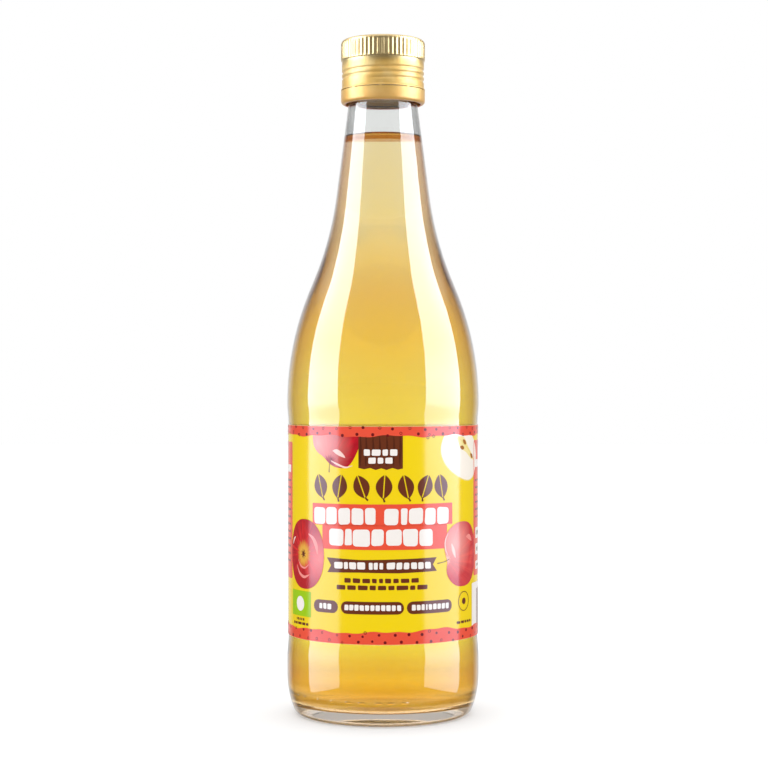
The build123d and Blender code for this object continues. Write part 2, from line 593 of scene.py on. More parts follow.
class Shared:
    """Effects that more than one finish uses, each built once."""

    MOTTLE = 420.0  # scales of the noises, per metre
    SCREEN = 2600.0
    WAVES = 38.0
    RIPPLES = 260.0
    AGED = (0.90, 0.86, 0.80, 1.0)  # what ink is multiplied by where it lies thick

    def __init__(self) -> None:
        """Builds the effects."""
        self.grain = self.print_grain()
        self.skin = self.apple_skin()
        self.waver = self.slow_waver()

    def print_grain(self) -> Effect:
        """Ink on coated paper: mottled colour, uneven gloss and the tooth of the paper.

        Returns:
            The effect.
        """
        kinds = {"Ink": "Color", "Mottle": "Float", "Gloss": "Float"}
        effect = Effect("print_grain", kinds, {"Colour": "Color", "Roughness": "Float", "Height": "Float"})
        graph = effect.graph
        place = graph.place()
        mottle = graph.noise(place, self.MOTTLE, 3.0)
        screen = graph.noise(place, self.SCREEN, 1.0)
        both = graph.math("ADD", graph.math("MULTIPLY", mottle, 0.6), graph.math("MULTIPLY", screen, 0.4))
        dark = graph.mix(1.0, effect.inputs["Ink"], self.AGED, "MULTIPLY")
        share = graph.math("MULTIPLY", both, effect.inputs["Mottle"], clamp=True)
        graph.feed(effect.outputs["Colour"], graph.mix(share, effect.inputs["Ink"], dark))
        uneven = graph.math("MULTIPLY", graph.math("SUBTRACT", mottle, 0.5), 0.10)
        graph.feed(effect.outputs["Roughness"], graph.math("ADD", effect.inputs["Gloss"], uneven, clamp=True))
        graph.feed(effect.outputs["Height"], both)
        return effect

    def apple_skin(self) -> Effect:
        """A round apple in soft light: streaks round a pole, a lit spot, dark edges and a pale hollow.

        Returns:
            The effect.
        """
        kinds = {
            "Skin": "Color", "Deep": "Color", "Glow": "Color", "Hollow": "Color",
            "Pole": "Vector", "Lit": "Vector", "Hollow Size": "Float", "Lit Size": "Float",
        }
        effect = Effect("apple_skin", kinds, {"Colour": "Color"})
        graph, given = effect.graph, effect.inputs
        here = graph.add("ShaderNodeUVMap", uv_map="flat").outputs["UV"]
        away = graph.vector("SUBTRACT", here, given["Pole"]).outputs["Vector"]
        span = graph.length(away)
        ray = graph.vector("NORMALIZE", away).outputs["Vector"]
        streaks = graph.noise(ray, 7.0, 3.0, 0.7)
        blotch = graph.noise(here, 2.2, 2.0)
        streaky = graph.math("ADD", graph.math("MULTIPLY", streaks, 0.7), graph.math("MULTIPLY", blotch, 0.3))
        skin = graph.mix(graph.between(streaky, 0.40, 0.66), given["Deep"], given["Skin"])
        edge = graph.between(graph.length(here), 0.62, 1.02)
        skin = graph.mix(graph.math("MULTIPLY", edge, 0.6), skin, given["Deep"])
        low = graph.between(graph.split(here)[1], -0.95, -0.25, 0.6, 0.0)
        skin = graph.mix(low, skin, given["Deep"])
        gap = graph.length(graph.vector("SUBTRACT", here, given["Lit"]).outputs["Vector"])
        ragged = graph.math("ADD", gap, graph.math("MULTIPLY", graph.math("SUBTRACT", streaks, 0.5), 0.35))
        lit = graph.math("SUBTRACT", 1.0, graph.math("DIVIDE", ragged, given["Lit Size"]), clamp=True)
        skin = graph.mix(graph.math("MULTIPLY", lit, 0.95, clamp=True), skin, given["Glow"])
        reach = graph.math("ADD", span, graph.math("MULTIPLY", graph.math("SUBTRACT", streaks, 0.5), 0.45))
        hollow = graph.math("SUBTRACT", 1.0, graph.math("DIVIDE", reach, given["Hollow Size"]), clamp=True)
        hollow = graph.math("MULTIPLY", hollow, 2.2, clamp=True)
        graph.feed(effect.outputs["Colour"], graph.mix(hollow, skin, given["Hollow"]))
        return effect

    def slow_waver(self) -> Effect:
        """The slow unevenness of blown glass and pressed sheet, as a height.

        Returns:
            The effect.
        """
        effect = Effect("slow_waver", {"Coarse": "Float", "Fine": "Float"}, {"Height": "Float"})
        graph = effect.graph
        place = graph.place()
        coarse = graph.math("MULTIPLY", graph.noise(place, self.WAVES, 1.0), effect.inputs["Coarse"])
        fine = graph.math("MULTIPLY", graph.noise(place, self.RIPPLES, 2.0), effect.inputs["Fine"])
        graph.feed(effect.outputs["Height"], graph.math("ADD", coarse, fine))
        return effect


def material(name: str) -> tuple[bpy.types.Material, Graph, bpy.types.Node]:
    """A new material with its graph and its Principled shader.

    Args:
        name: the material's name.

    Returns:
        The material, its graph and its shader.
    """
    made = bpy.data.materials.new(name)
    made.use_nodes = True
    return made, Graph(made.node_tree), made.node_tree.nodes["Principled BSDF"]


# Finishes


@dataclass(frozen=True)
class ClearGlass:
    """Flint glass with a slightly wavy surface.

    Attributes:
        index: refractive index.
        coat: refractive index of the hard cold-end coating, which gives the glass its shine.
        coat_roughness: roughness of that coating.
        tint: colour kept per pass through the surface.
        foot: the same in the thick foot, with a painted warm tint that stands for the liquid above it showing
            there.
        foot_z: heights between which the one turns into the other.
        smears: scale of the smears of handling, and the levels of noise between which one sets in.
        smeared: share of the tint that a smear leaves.
        smear_roughness: roughness of a smear.
        waver: depth of the unevenness in metres.
        waver_share: its strength.
        ripples: share of the fine ripples in it.
    """

    index: float = 1.5
    coat: float = 1.6
    coat_roughness: float = 0.035
    tint: Colour = (0.985, 0.995, 0.985, 1.0)
    foot: Colour = (0.955, 0.92, 0.885, 1.0)
    foot_z: Point = (0.0050, 0.0068)
    smears: tuple[float, float, float] = (90.0, 0.45, 0.75)
    smeared: float = 0.985
    smear_roughness: float = 0.02
    waver: float = 0.00006
    waver_share: float = 0.6
    ripples: float = 0.12

    def build(self, shared: Shared) -> bpy.types.Material:
        """Makes the material.

        Args:
            shared: effects that the finishes share.

        Returns:
            The material.
        """
        made, graph, shader = material("clear_flint_glass")
        height = shared.waver.placed(graph, Coarse=1.0, Fine=self.ripples)["Height"]
        scale, low, high = self.smears
        smear = graph.between(graph.noise(graph.place(), scale, 3.0), low, high)
        dull = graph.mix(smear, self.tint, (*(self.smeared * share for share in self.tint[:3]), 1.0))
        # painted warm tint in the foot, standing for the liquid's colour showing through it
        above = graph.between(graph.split(graph.place())[2], *self.foot_z)
        graph.feed(shader.inputs["Base Color"], graph.mix(above, self.foot, dull))
        graph.feed(shader.inputs["Roughness"], graph.math("MULTIPLY", smear, self.smear_roughness))
        graph.feed(shader.inputs["Normal"], graph.bump(height, self.waver_share, self.waver))
        shader.inputs["IOR"].default_value = self.index
        shader.inputs["Transmission Weight"].default_value = 1.0
        shader.inputs["Coat Weight"].default_value = 1.0
        shader.inputs["Coat IOR"].default_value = self.coat
        shader.inputs["Coat Roughness"].default_value = self.coat_roughness
        return made


@dataclass(frozen=True)
class CloudyVinegar:
    """Straw-coloured vinegar, faintly cloudy, with painted shading by height that is deeper towards the base,
    and a painted brown reflection on the ring at its edge in the neck.

    Attributes:
        painted_shading: painted light and shade, as haze colours that change by height in metres.
        edge: painted shade, the colour multiplied in where the liquid is seen edge-on, so that its sides look
            darker and warmer.
        edge_shade: facings between which that painted shade sets in.
        edge_shade_z: heights over which the painted shade sets in, and its shares below and above them.
        rim: painted reflection, a brown colour on the ring where the liquid creeps up the glass.
        rim_z: heights over which that colour sets in.
        rim_radius: radii over which it sets in.
        index: refractive index.
        clear: share of the light that passes the haze.
        absorbed: colour that the depth of liquid turns to.
        density: strength of the absorption per metre.
        clouds: scale of the clouds.
        drift: height that they shift the painted shading by, in metres.
        dimming: levels of the clouds and the roughness that they bring.
    """

    painted_shading: tuple[tuple[float, Colour], ...] = (
        (0.0096, (1.00, 0.72, 0.36, 1.0)),
        (0.0130, (0.70, 0.44, 0.008, 1.0)),
        (0.0260, (0.83, 0.88, 0.21, 1.0)),
        (0.1120, (0.95, 0.98, 0.58, 1.0)),
        (0.1245, (0.91, 0.88, 0.62, 1.0)),
        (0.1395, (0.94, 0.79, 0.53, 1.0)),
        (0.1546, (0.91, 0.73, 0.66, 1.0)),
        (0.1810, (0.91, 0.84, 1.00, 1.0)),
        (0.2134, (0.86, 0.80, 1.00, 1.0)),
    )
    edge: Colour = (0.77, 0.53, 0.42, 1.0)
    edge_shade: Point = (0.10, 0.28)
    edge_shade_z: Span = (0.010, 0.016, 0.15, 1.0)
    rim: Colour = (0.45, 0.17, 0.035, 1.0)
    rim_z: Point = (0.2135, 0.2137)
    rim_radius: Point = (0.0103, 0.0110)
    index: float = 1.34
    clear: float = 0.93
    absorbed: Colour = (0.996, 0.88, 0.0, 1.0)
    density: float = 46.0
    clouds: float = 24.0
    drift: float = 0.0008
    dimming: Span = (0.2, 0.8, 0.03, 0.08)

    def build(self, shared: Shared) -> bpy.types.Material:
        """Makes the material.

        Args:
            shared: effects that the finishes share; not used.

        Returns:
            The material.
        """
        made, graph, shader = material("cloudy_straw_vinegar")
        place = graph.place()
        top = self.painted_shading[-1][0]
        haze = graph.noise(place, self.clouds, 3.0)
        drift = graph.math("MULTIPLY", graph.math("SUBTRACT", haze, 0.5), self.drift)
        height = graph.math("ADD", graph.split(place)[2], drift)
        level = graph.math("DIVIDE", height, top, clamp=True)
        # painted light and shade: the colour changes by height, deeper towards the base
        painted_tone = graph.ramp(level, [(stop / top, colour) for stop, colour in self.painted_shading])
        # painted reflection: a brown ring where the liquid creeps up the glass in the neck
        creep = graph.between(height, *self.rim_z)
        creep = graph.math("MULTIPLY", creep, graph.between(graph.radius(place), *self.rim_radius))
        painted_tone = graph.mix(creep, painted_tone, self.rim)
        # painted shade: darker, warmer colour where the liquid is seen edge-on
        edge_shade = graph.between(graph.add("ShaderNodeLayerWeight").outputs["Facing"], *self.edge_shade)
        edge_shade = graph.math("MULTIPLY", edge_shade, graph.between(graph.split(place)[2], *self.edge_shade_z))
        edge_shaded = graph.mix(1.0, painted_tone, self.edge, "MULTIPLY")
        graph.feed(shader.inputs["Base Color"], graph.mix(edge_shade, painted_tone, edge_shaded))
        graph.feed(shader.inputs["Roughness"], graph.between(haze, *self.dimming))
        shader.inputs["IOR"].default_value = self.index
        shader.inputs["Transmission Weight"].default_value = self.clear
        depth = graph.add("ShaderNodeVolumeAbsorption")
        depth.inputs["Color"].default_value = self.absorbed
        depth.inputs["Density"].default_value = self.density
        graph.feed(made.node_tree.nodes["Material Output"].inputs["Volume"], depth.outputs[0])
        return made


@dataclass(frozen=True)
class GoldAluminium:
    """Brushed aluminium under a clear gold lacquer, dented a little by the capping machine.

    Attributes:
        gold: the metal seen through the lacquer.
        worn: the metal where the lacquer is thin.
        wear: scale of the thin places, and the levels of noise between which one sets in.
        low_orange: a deeper orange that the metal turns towards the lower edge.
        low_orange_z: heights over which it fades out, and its shares there.
        pale: the metal of the ribs, paler, partly its own colour and partly a painted whitening of their
            highlights.
        pale_z: heights over which it sets in, and its shares there.
        lining: brown on the inside of the sheet, also the colour of its painted glow.
        lining_glow: strength of a painted glow inside the cap, standing in for daylight that gets in under
            the cap past the glass.
        lined: radii between which the inside turns into the outside.
        lid_z: the same for heights.
        grain: scales of the brush marks along x, y and z.
        scratches: levels of the brush marks and the roughness that they add.
        roughness: heights between the skirt and the ribs, and the roughness of both.
        metallic: the same for the share of bare metal.
        coat: weight, roughness and refractive index of the lacquer's shine.
        dents: share and depth in metres of the dents.
        ripples: share of the fine ripples in them.
    """

    gold: Colour = (0.80, 0.49, 0.11, 1.0)
    worn: Colour = (0.88, 0.64, 0.25, 1.0)
    wear: tuple[float, float, float] = (160.0, 0.35, 0.75)
    low_orange: Colour = (0.82, 0.42, 0.08, 1.0)
    low_orange_z: Span = (0.2290, 0.2345, 0.7, 0.0)
    pale: Colour = (0.90, 0.74, 0.42, 1.0)
    pale_z: Span = (0.2420, 0.2446, 0.0, 0.5)
    lining: Colour = (0.30, 0.10, 0.07, 1.0)
    lining_glow: float = 0.9
    lined: Point = (0.01440, 0.01450)
    lid_z: Point = (0.2512, 0.2514)
    grain: tuple[float, float, float] = (300.0, 300.0, 9000.0)
    scratches: Span = (0.2, 0.8, -0.06, 0.06)
    roughness: Span = (0.2408, 0.2438, 0.5, 0.36)
    metallic: Span = (0.2408, 0.2438, 0.45, 0.80)
    coat: tuple[float, float, float] = (0.7, 0.3, 1.6)
    dents: Point = (0.8, 0.0012)
    ripples: float = 0.15

    def build(self, shared: Shared) -> bpy.types.Material:
        """Makes the material.

        Args:
            shared: effects that the finishes share.

        Returns:
            The material.
        """
        made, graph, shader = material("gold_lacquered_aluminium")
        place = graph.place()
        height = graph.split(place)[2]
        scale, low, high = self.wear
        thin = graph.between(graph.noise(place, scale, 3.0), low, high)
        sheet = graph.between(graph.radius(place), *self.lined)
        outside = graph.math("MAXIMUM", sheet, graph.between(height, *self.lid_z))
        lacquer = graph.mix(thin, self.gold, self.worn)
        # deeper orange towards the lower edge
        lacquer = graph.mix(graph.between(height, *self.low_orange_z), lacquer, self.low_orange)
        # paler rib band: partly its own colour, partly a painted whitening of its highlights
        lacquer = graph.mix(graph.between(height, *self.pale_z), lacquer, self.pale)
        graph.feed(shader.inputs["Base Color"], graph.mix(outside, self.lining, lacquer))
        brushed = graph.noise(graph.vector("MULTIPLY", place, self.grain).outputs["Vector"], 1.0, 2.0)
        streak = graph.between(brushed, *self.scratches)
        rough = graph.math("ADD", graph.between(height, *self.roughness), streak)
        graph.feed(shader.inputs["Roughness"], rough)
        metal = graph.between(height, *self.metallic)
        graph.feed(shader.inputs["Metallic"], graph.math("MULTIPLY", metal, outside))
        dents = shared.waver.placed(graph, Coarse=1.0, Fine=self.ripples)["Height"]
        graph.feed(shader.inputs["Normal"], graph.bump(dents, *self.dents))
        shader.inputs["Coat Weight"].default_value = self.coat[0]
        shader.inputs["Coat Roughness"].default_value = self.coat[1]
        shader.inputs["Coat IOR"].default_value = self.coat[2]
        # painted glow: the inside of the cap gives off light in the lining's brown
        inside = graph.math("SUBTRACT", 1.0, outside)
        graph.feed(shader.inputs["Emission Color"], graph.mix(inside, (0.0, 0.0, 0.0, 1.0), self.lining))
        shader.inputs["Emission Strength"].default_value = self.lining_glow
        return made


@dataclass(frozen=True)
class Printed:
    """Ink on the label.

    Attributes:
        name: the material's name.
        ink: the ink's linear colour.
        mottle: unevenness of the colour, 0 to 1.
        gloss: roughness of the varnish.
        tooth: share and depth in metres of the paper's tooth.
        shine: specular level of the varnish.
    """

    name: str
    ink: Colour
    mottle: float = 0.22
    gloss: float = 0.15
    tooth: Point = (0.3, 0.00003)
    shine: float = 0.7

    def build(self, shared: Shared) -> bpy.types.Material:
        """Makes the material.

        Args:
            shared: effects that the finishes share.

        Returns:
            The material.
        """
        made, graph, shader = material(self.name)
        self.dress(shared, graph, shader, self.ink)
        return made

    def dress(self, shared: Shared, graph: Graph, shader: bpy.types.Node, ink: object) -> None:
        """Feeds the shader with the ink on its paper.

        Args:
            shared: effects that the finishes share.
            graph: the material's nodes.
            shader: its Principled shader.
            ink: the ink's colour or a socket.
        """
        grain = shared.grain.placed(graph, Ink=ink, Mottle=self.mottle, Gloss=self.gloss)
        graph.feed(shader.inputs["Base Color"], grain["Colour"])
        graph.feed(shader.inputs["Roughness"], grain["Roughness"])
        graph.feed(shader.inputs["Normal"], graph.bump(grain["Height"], *self.tooth))
        shader.inputs["Specular IOR Level"].default_value = self.shine


@dataclass(frozen=True)
class PaperBack(Printed):
    """The bare back of the label, with a painted glow that stands in for the daylight soaking through the
    paper.

    Attributes:
        soaked: colour of that painted glow.
        strength: its share.
    """

    soaked: Colour = (1.0, 0.86, 0.50, 1.0)
    strength: float = 0.5

    def build(self, shared: Shared) -> bpy.types.Material:
        """Makes the material.

        Args:
            shared: effects that the finishes share.

        Returns:
            The material.
        """
        made, graph, shader = material(self.name)
        self.dress(shared, graph, shader, self.ink)
        # painted glow: the paper's back gives off light as if lit through the paper
        shader.inputs["Emission Color"].default_value = self.soaked
        shader.inputs["Emission Strength"].default_value = self.strength
        return made


@dataclass(frozen=True)
class PrintedApple(Printed):
    """An apple printed in shades that run into each other.

    Attributes:
        skin: streak colour of the skin.
        glow: colour of the lit spot, partly the printed apple's own light and partly a painted reflection of
            the lamps on the varnish.
        hollow: colour round the stalk or the eye.
        pole: the stalk or eye, in shares of the apple's half sizes.
        lit: the lit spot, likewise.
        hollow_size: reach of the hollow's colour.
        lit_size: reach of the lit spot.
    """

    skin: Colour = linear(214, 34, 40)
    glow: Colour = linear(240, 150, 140)
    hollow: Colour = linear(206, 190, 60)
    pole: tuple[float, float, float] = (0.0, 0.0, 0.0)
    lit: tuple[float, float, float] = (0.4, 0.4, 0.0)
    hollow_size: float = 0.5
    lit_size: float = 0.4

    def build(self, shared: Shared) -> bpy.types.Material:
        """Makes the material.

        Args:
            shared: effects that the finishes share.

        Returns:
            The material.
        """
        made, graph, shader = material(self.name)
        looks = {name: getattr(self, name.lower()) for name in ("Skin", "Glow", "Hollow", "Pole", "Lit")}
        looks.update(Hollow_Size=self.hollow_size, Lit_Size=self.lit_size, Deep=self.ink)
        self.dress(shared, graph, shader, shared.skin.placed(graph, **looks)["Colour"])
        return made


# Glass, contents and cap


@dataclass
class Blank:
    """Outlines that the glass and its contents share.

    Attributes:
        radius: of the body.
        wall: thickness of the glass.
        shoulder_z: where the body turns in.
        shoulder_rise: height of the shoulder.
        shoulder_ratio: hollow arc over full arc.
        shoulder_flat: straight run between the two arcs.
        neck: radius at the top of the cone.
        neck_top: height of the cone's top.
        cone: height of the cone.
        taper: lean of the cone in degrees.
        base: thickness of the base at its edge.
        rise: how far the inside of the base rises to the axis.
        corner: inside corner radius between base and wall.
        lean: how far the shoulder leans where its arcs meet, in radians.
        full: radius of the shoulder's full arc.
    """

    radius: float = 35.9
    wall: float = 3.4
    shoulder_z: float = 116.1
    shoulder_rise: float = 77.4
    shoulder_ratio: float = 1.1225
    shoulder_flat: float = 6.6
    neck: float = 13.0
    neck_top: float = 227.4
    cone: float = 33.9
    taper: float = 7.47
    base: float = 5.2
    rise: float = 2.0
    corner: float = 6.5
    lean: float = field(init=False)
    full: float = field(init=False)

    def __post_init__(self) -> None:
        """Finds the lean at which both arcs and the straight run fit the shoulder."""
        taper = math.radians(self.taper)
        low, high = taper + 1e-6, math.radians(80.0)
        for _ in range(60):
            self.lean = (low + high) / 2
            arcs = math.sin(self.lean) + self.shoulder_ratio * (math.sin(self.lean) - math.sin(taper))
            self.full = (self.shoulder_rise - self.shoulder_flat * math.cos(self.lean)) / arcs
            inwards = self.full * (1 - math.cos(self.lean)) + self.shoulder_flat * math.sin(self.lean)
            inwards += self.shoulder_ratio * self.full * (math.cos(taper) - math.cos(self.lean))
            if inwards < self.radius - self.neck_foot:
                low = self.lean
            else:
                high = self.lean

    @property
    def neck_foot(self) -> float:
        """Radius at the foot of the cone."""
        return self.neck + self.cone * math.tan(math.radians(self.taper))

    def shoulder(self, inset: float) -> list[Point]:
        """The shoulder's points from the body up, moved in by an inset.

        Args:
            inset: how far the outline is moved in.

        Returns:
            The outline's points.
        """
        taper, turn = math.radians(self.taper), math.degrees(self.lean)
        hollow = self.shoulder_ratio * self.full
        foot = self.neck_top - self.cone
        centre = (self.neck_foot + hollow * math.cos(taper), foot + hollow * math.sin(taper))
        lower = arc((self.radius - self.full, self.shoulder_z), self.full - inset, 0.0, turn, 1.5)
        return lower + arc(centre, hollow + inset, 180.0 + turn, 180.0 + self.taper, 1.5)

    def dome(self, radius: float, edge: float, rise: float) -> list[Point]:
        """Points of a flat dome from the axis out to a radius."""
        size = (radius**2 + rise**2) / (2 * rise)
        return arc((0.0, edge + rise - size), size, 90.0, 90.0 - math.degrees(math.asin(radius / size)), 1.2)

    def inside(self, inset: float, top: float) -> list[Point]:
        """The inside from the axis at the base up to a level.

        Args:
            inset: how far the outline is moved in from the glass, or out if negative.
            top: height of the last point.

        Returns:
            The outline's points.
        """
        wall = self.radius - self.wall - inset
        base = self.base + inset
        points = self.dome(wall - self.corner, base, self.rise)
        points += arc((wall - self.corner, base + self.corner), self.corner, -90.0, 0.0, 5.0)
        points += self.shoulder(self.wall + inset)
        taper = math.radians(self.taper)
        bore = self.neck - (self.wall + inset) / math.cos(taper)
        if top < self.neck_top:
            return tidy([*points, (bore + (self.neck_top - top) * math.tan(taper), top)])
        return tidy([*points, (bore, self.neck_top), (bore, top)])


@dataclass
class GlassBottle:
    """The bottle itself, with the marks on its heel.

    Attributes:
        blank: shared outlines.
        heel: centre of the large heel arc and its radius.
        foot: centre of the tight arc at the foot and its radius.
        ring: inner radius of the standing ring.
        hollow: how far the underside rises inside it.
        seat: radius of the label's seat.
        seat_ends: heights of the seat's two ends.
        blend: height over which the seat runs out into the body.
        edge: bevel inside the standing ring.
        bead: radius of the locking bead.
        bead_z: height of its underside.
        bead_rise: height of the bead up to its upper chamfer.
        bead_round: radius under the bead and height of that chamfer.
        finish: radius of the thread's ground.
        lip: height of the lip.
        lip_round: radius of its outer edge.
        bore_round: radius of its inner edge.
        mark_z: height of the heel marks.
        dots: degrees round from the front of the round marks.
        bars: the same for the long marks.
        bar: how much longer a long mark is.
        mark_radius: radius of a mark.
        sunk: how deep its middle lies in the heel.
    """

    blank: Blank
    heel: tuple[float, float, float] = (0.4, 15.0, 35.5)
    foot: tuple[float, float, float] = (30.606, 3.0, 3.0)
    ring: float = 27.406
    hollow: float = 2.5
    seat: float = 35.45
    seat_ends: tuple[float, float] = (29.0, 108.8)
    blend: float = 7.2
    edge: float = 0.9
    bead: float = 14.6
    bead_z: float = 228.85
    bead_rise: float = 2.2
    bead_round: float = 0.7
    finish: float = 14.3
    lip: float = 251.75
    lip_round: float = 1.2
    bore_round: float = 0.8
    mark_z: float = 9.2
    dots: tuple[float, ...] = (-61.5, -53.5, -41.5, -31.5)
    bars: tuple[float, ...] = (-20.5, -12.5, -2.5, 4.5, 13.0)
    bar: float = 1.5
    mark_radius: float = 0.7
    sunk: float = 0.48

    def outline(self) -> list[Point]:
        """The closed outline from the axis under the base, over the lip and down the inside to the axis.

        Returns:
            The outline's points.
        """
        blank, foot, heel = self.blank, self.foot, self.heel
        turn = math.degrees(math.atan2(foot[1] - heel[1], foot[0] - heel[0]))
        points = blank.dome(self.ring - self.edge, self.edge, self.hollow)
        points += [(self.ring, 0.0), *arc(foot[:2], foot[2], -90.0, turn, 5.0)]
        points += arc(heel[:2], heel[2], turn, 0.0, 1.5)
        low, high = self.seat_ends
        depth = blank.radius - self.seat
        slopes = [(index / 8, depth * smoothstep(0.0, 1.0, index / 8)) for index in range(9)]
        points += [(blank.radius - drop, low - self.blend * (1.0 - share)) for share, drop in slopes]
        points += [(self.seat + drop, high + self.blend * share) for share, drop in slopes]
        points += blank.shoulder(0.0)
        points += [(blank.neck, blank.neck_top), (blank.neck, self.bead_z)]
        bead, lip, bore = self.bead_round, self.lip_round, self.bore_round
        points += arc((self.bead - bead, self.bead_z + bead), bead, -90.0, 0.0, 15.0)
        chamfer = self.bead_z + self.bead_rise
        points += [(self.bead, chamfer), (self.finish, chamfer + bead)]
        points += arc((self.finish - lip, self.lip - lip), lip, 0.0, 90.0, 10.0)
        inside = blank.inside(0.0, self.lip - bore)
        points += arc((inside[-1][0] + bore, self.lip - bore), bore, 90.0, 180.0, 15.0)
        return tidy(points + inside[::-1])

    def build(self, finish: bpy.types.Material) -> None:
        """Spins the bottle, raises its marks and hands it over.

        Args:
            finish: the glass's material.
        """
        bottle = spun("clear_bottle", self.outline(), ROUND)
        radius = self.heel[0] + math.sqrt(self.heel[2] ** 2 - (self.heel[1] - self.mark_z) ** 2)
        marks = [self.mark(turn, 0.0, radius) for turn in self.dots]
        marks += [self.mark(turn, self.bar, radius) for turn in self.bars]
        stamped = join("heel_marks", marks)
        take(bottle)
        modifier = bottle.modifiers.new("Marks", "BOOLEAN")
        modifier.operation, modifier.solver, modifier.object = "UNION", "EXACT", stamped
        bpy.ops.object.modifier_apply(modifier=modifier.name)
        deselect()
        stamped.select_set(True)
        bpy.ops.object.delete()
        smooth(bottle)
        hand_over(bottle, Slot.GLASS, finish, "bottle_glass")

    def mark(self, turn: float, length: float, radius: float) -> Piece:
        """One round-ended mark on the heel.

        Args:
            turn: degrees round from the front.
            length: between its two round ends.
            radius: of the heel at the mark.

        Returns:
            The mark, sunk in the heel but for its crown.
        """
        deselect()
        ball = {"segments": 16, "ring_count": 8, "radius": self.mark_radius * MM}
        bpy.ops.mesh.primitive_uv_sphere_add(**ball, rotation=(0.0, math.pi / 2, 0.0))
        piece = bpy.context.object
        bpy.ops.object.transform_apply(location=False, rotation=True, scale=False)
        if length:
            pick(piece, lambda place: place.x > 0.01)
            bpy.ops.transform.translate(value=(length / 2 * MM, 0.0, 0.0))
            pick(piece, lambda place: place.x < 0.01)
            bpy.ops.transform.translate(value=(-length / 2 * MM, 0.0, 0.0))
        take(piece)
        away = math.radians(turn)
        reach = (radius - self.sunk) * MM
        piece.rotation_euler.z = away
        piece.location = (reach * math.sin(away), -reach * math.cos(away), self.mark_z * MM)
        bpy.ops.object.transform_apply(location=True, rotation=True, scale=False)
        return piece


@dataclass
class Contents:
    """The vinegar, filled to a level in the neck.

    Attributes:
        blank: the bottle's outlines.
        level: height of the liquid at the axis.
        creep: how far the liquid climbs at the glass.
        overlap: how far it reaches into the wall, so that no air shows between.
        fall: how steeply the climb falls off towards the axis.
    """

    blank: Blank
    level: float = 215.3
    creep: float = 0.9
    overlap: float = 0.25
    fall: float = 9.0

    def build(self, finish: bpy.types.Material) -> None:
        """Spins the liquid and hands it over.

        Args:
            finish: the vinegar's material.
        """
        outline = self.blank.inside(-self.overlap, self.level + self.creep)
        rim = outline[-1][0]
        shares = (0.985, 0.96, 0.92, 0.86, 0.78, 0.66, 0.45, 0.2, 0.0)
        climbs = [(share, self.creep * math.exp((share - 1.0) * self.fall)) for share in shares]
        surface = [(rim * share, self.level + climb) for share, climb in climbs]
        vinegar = spun("vinegar_fill", tidy(outline + surface), ROUND)
        hand_over(vinegar, Slot.VINEGAR, finish, "vinegar")


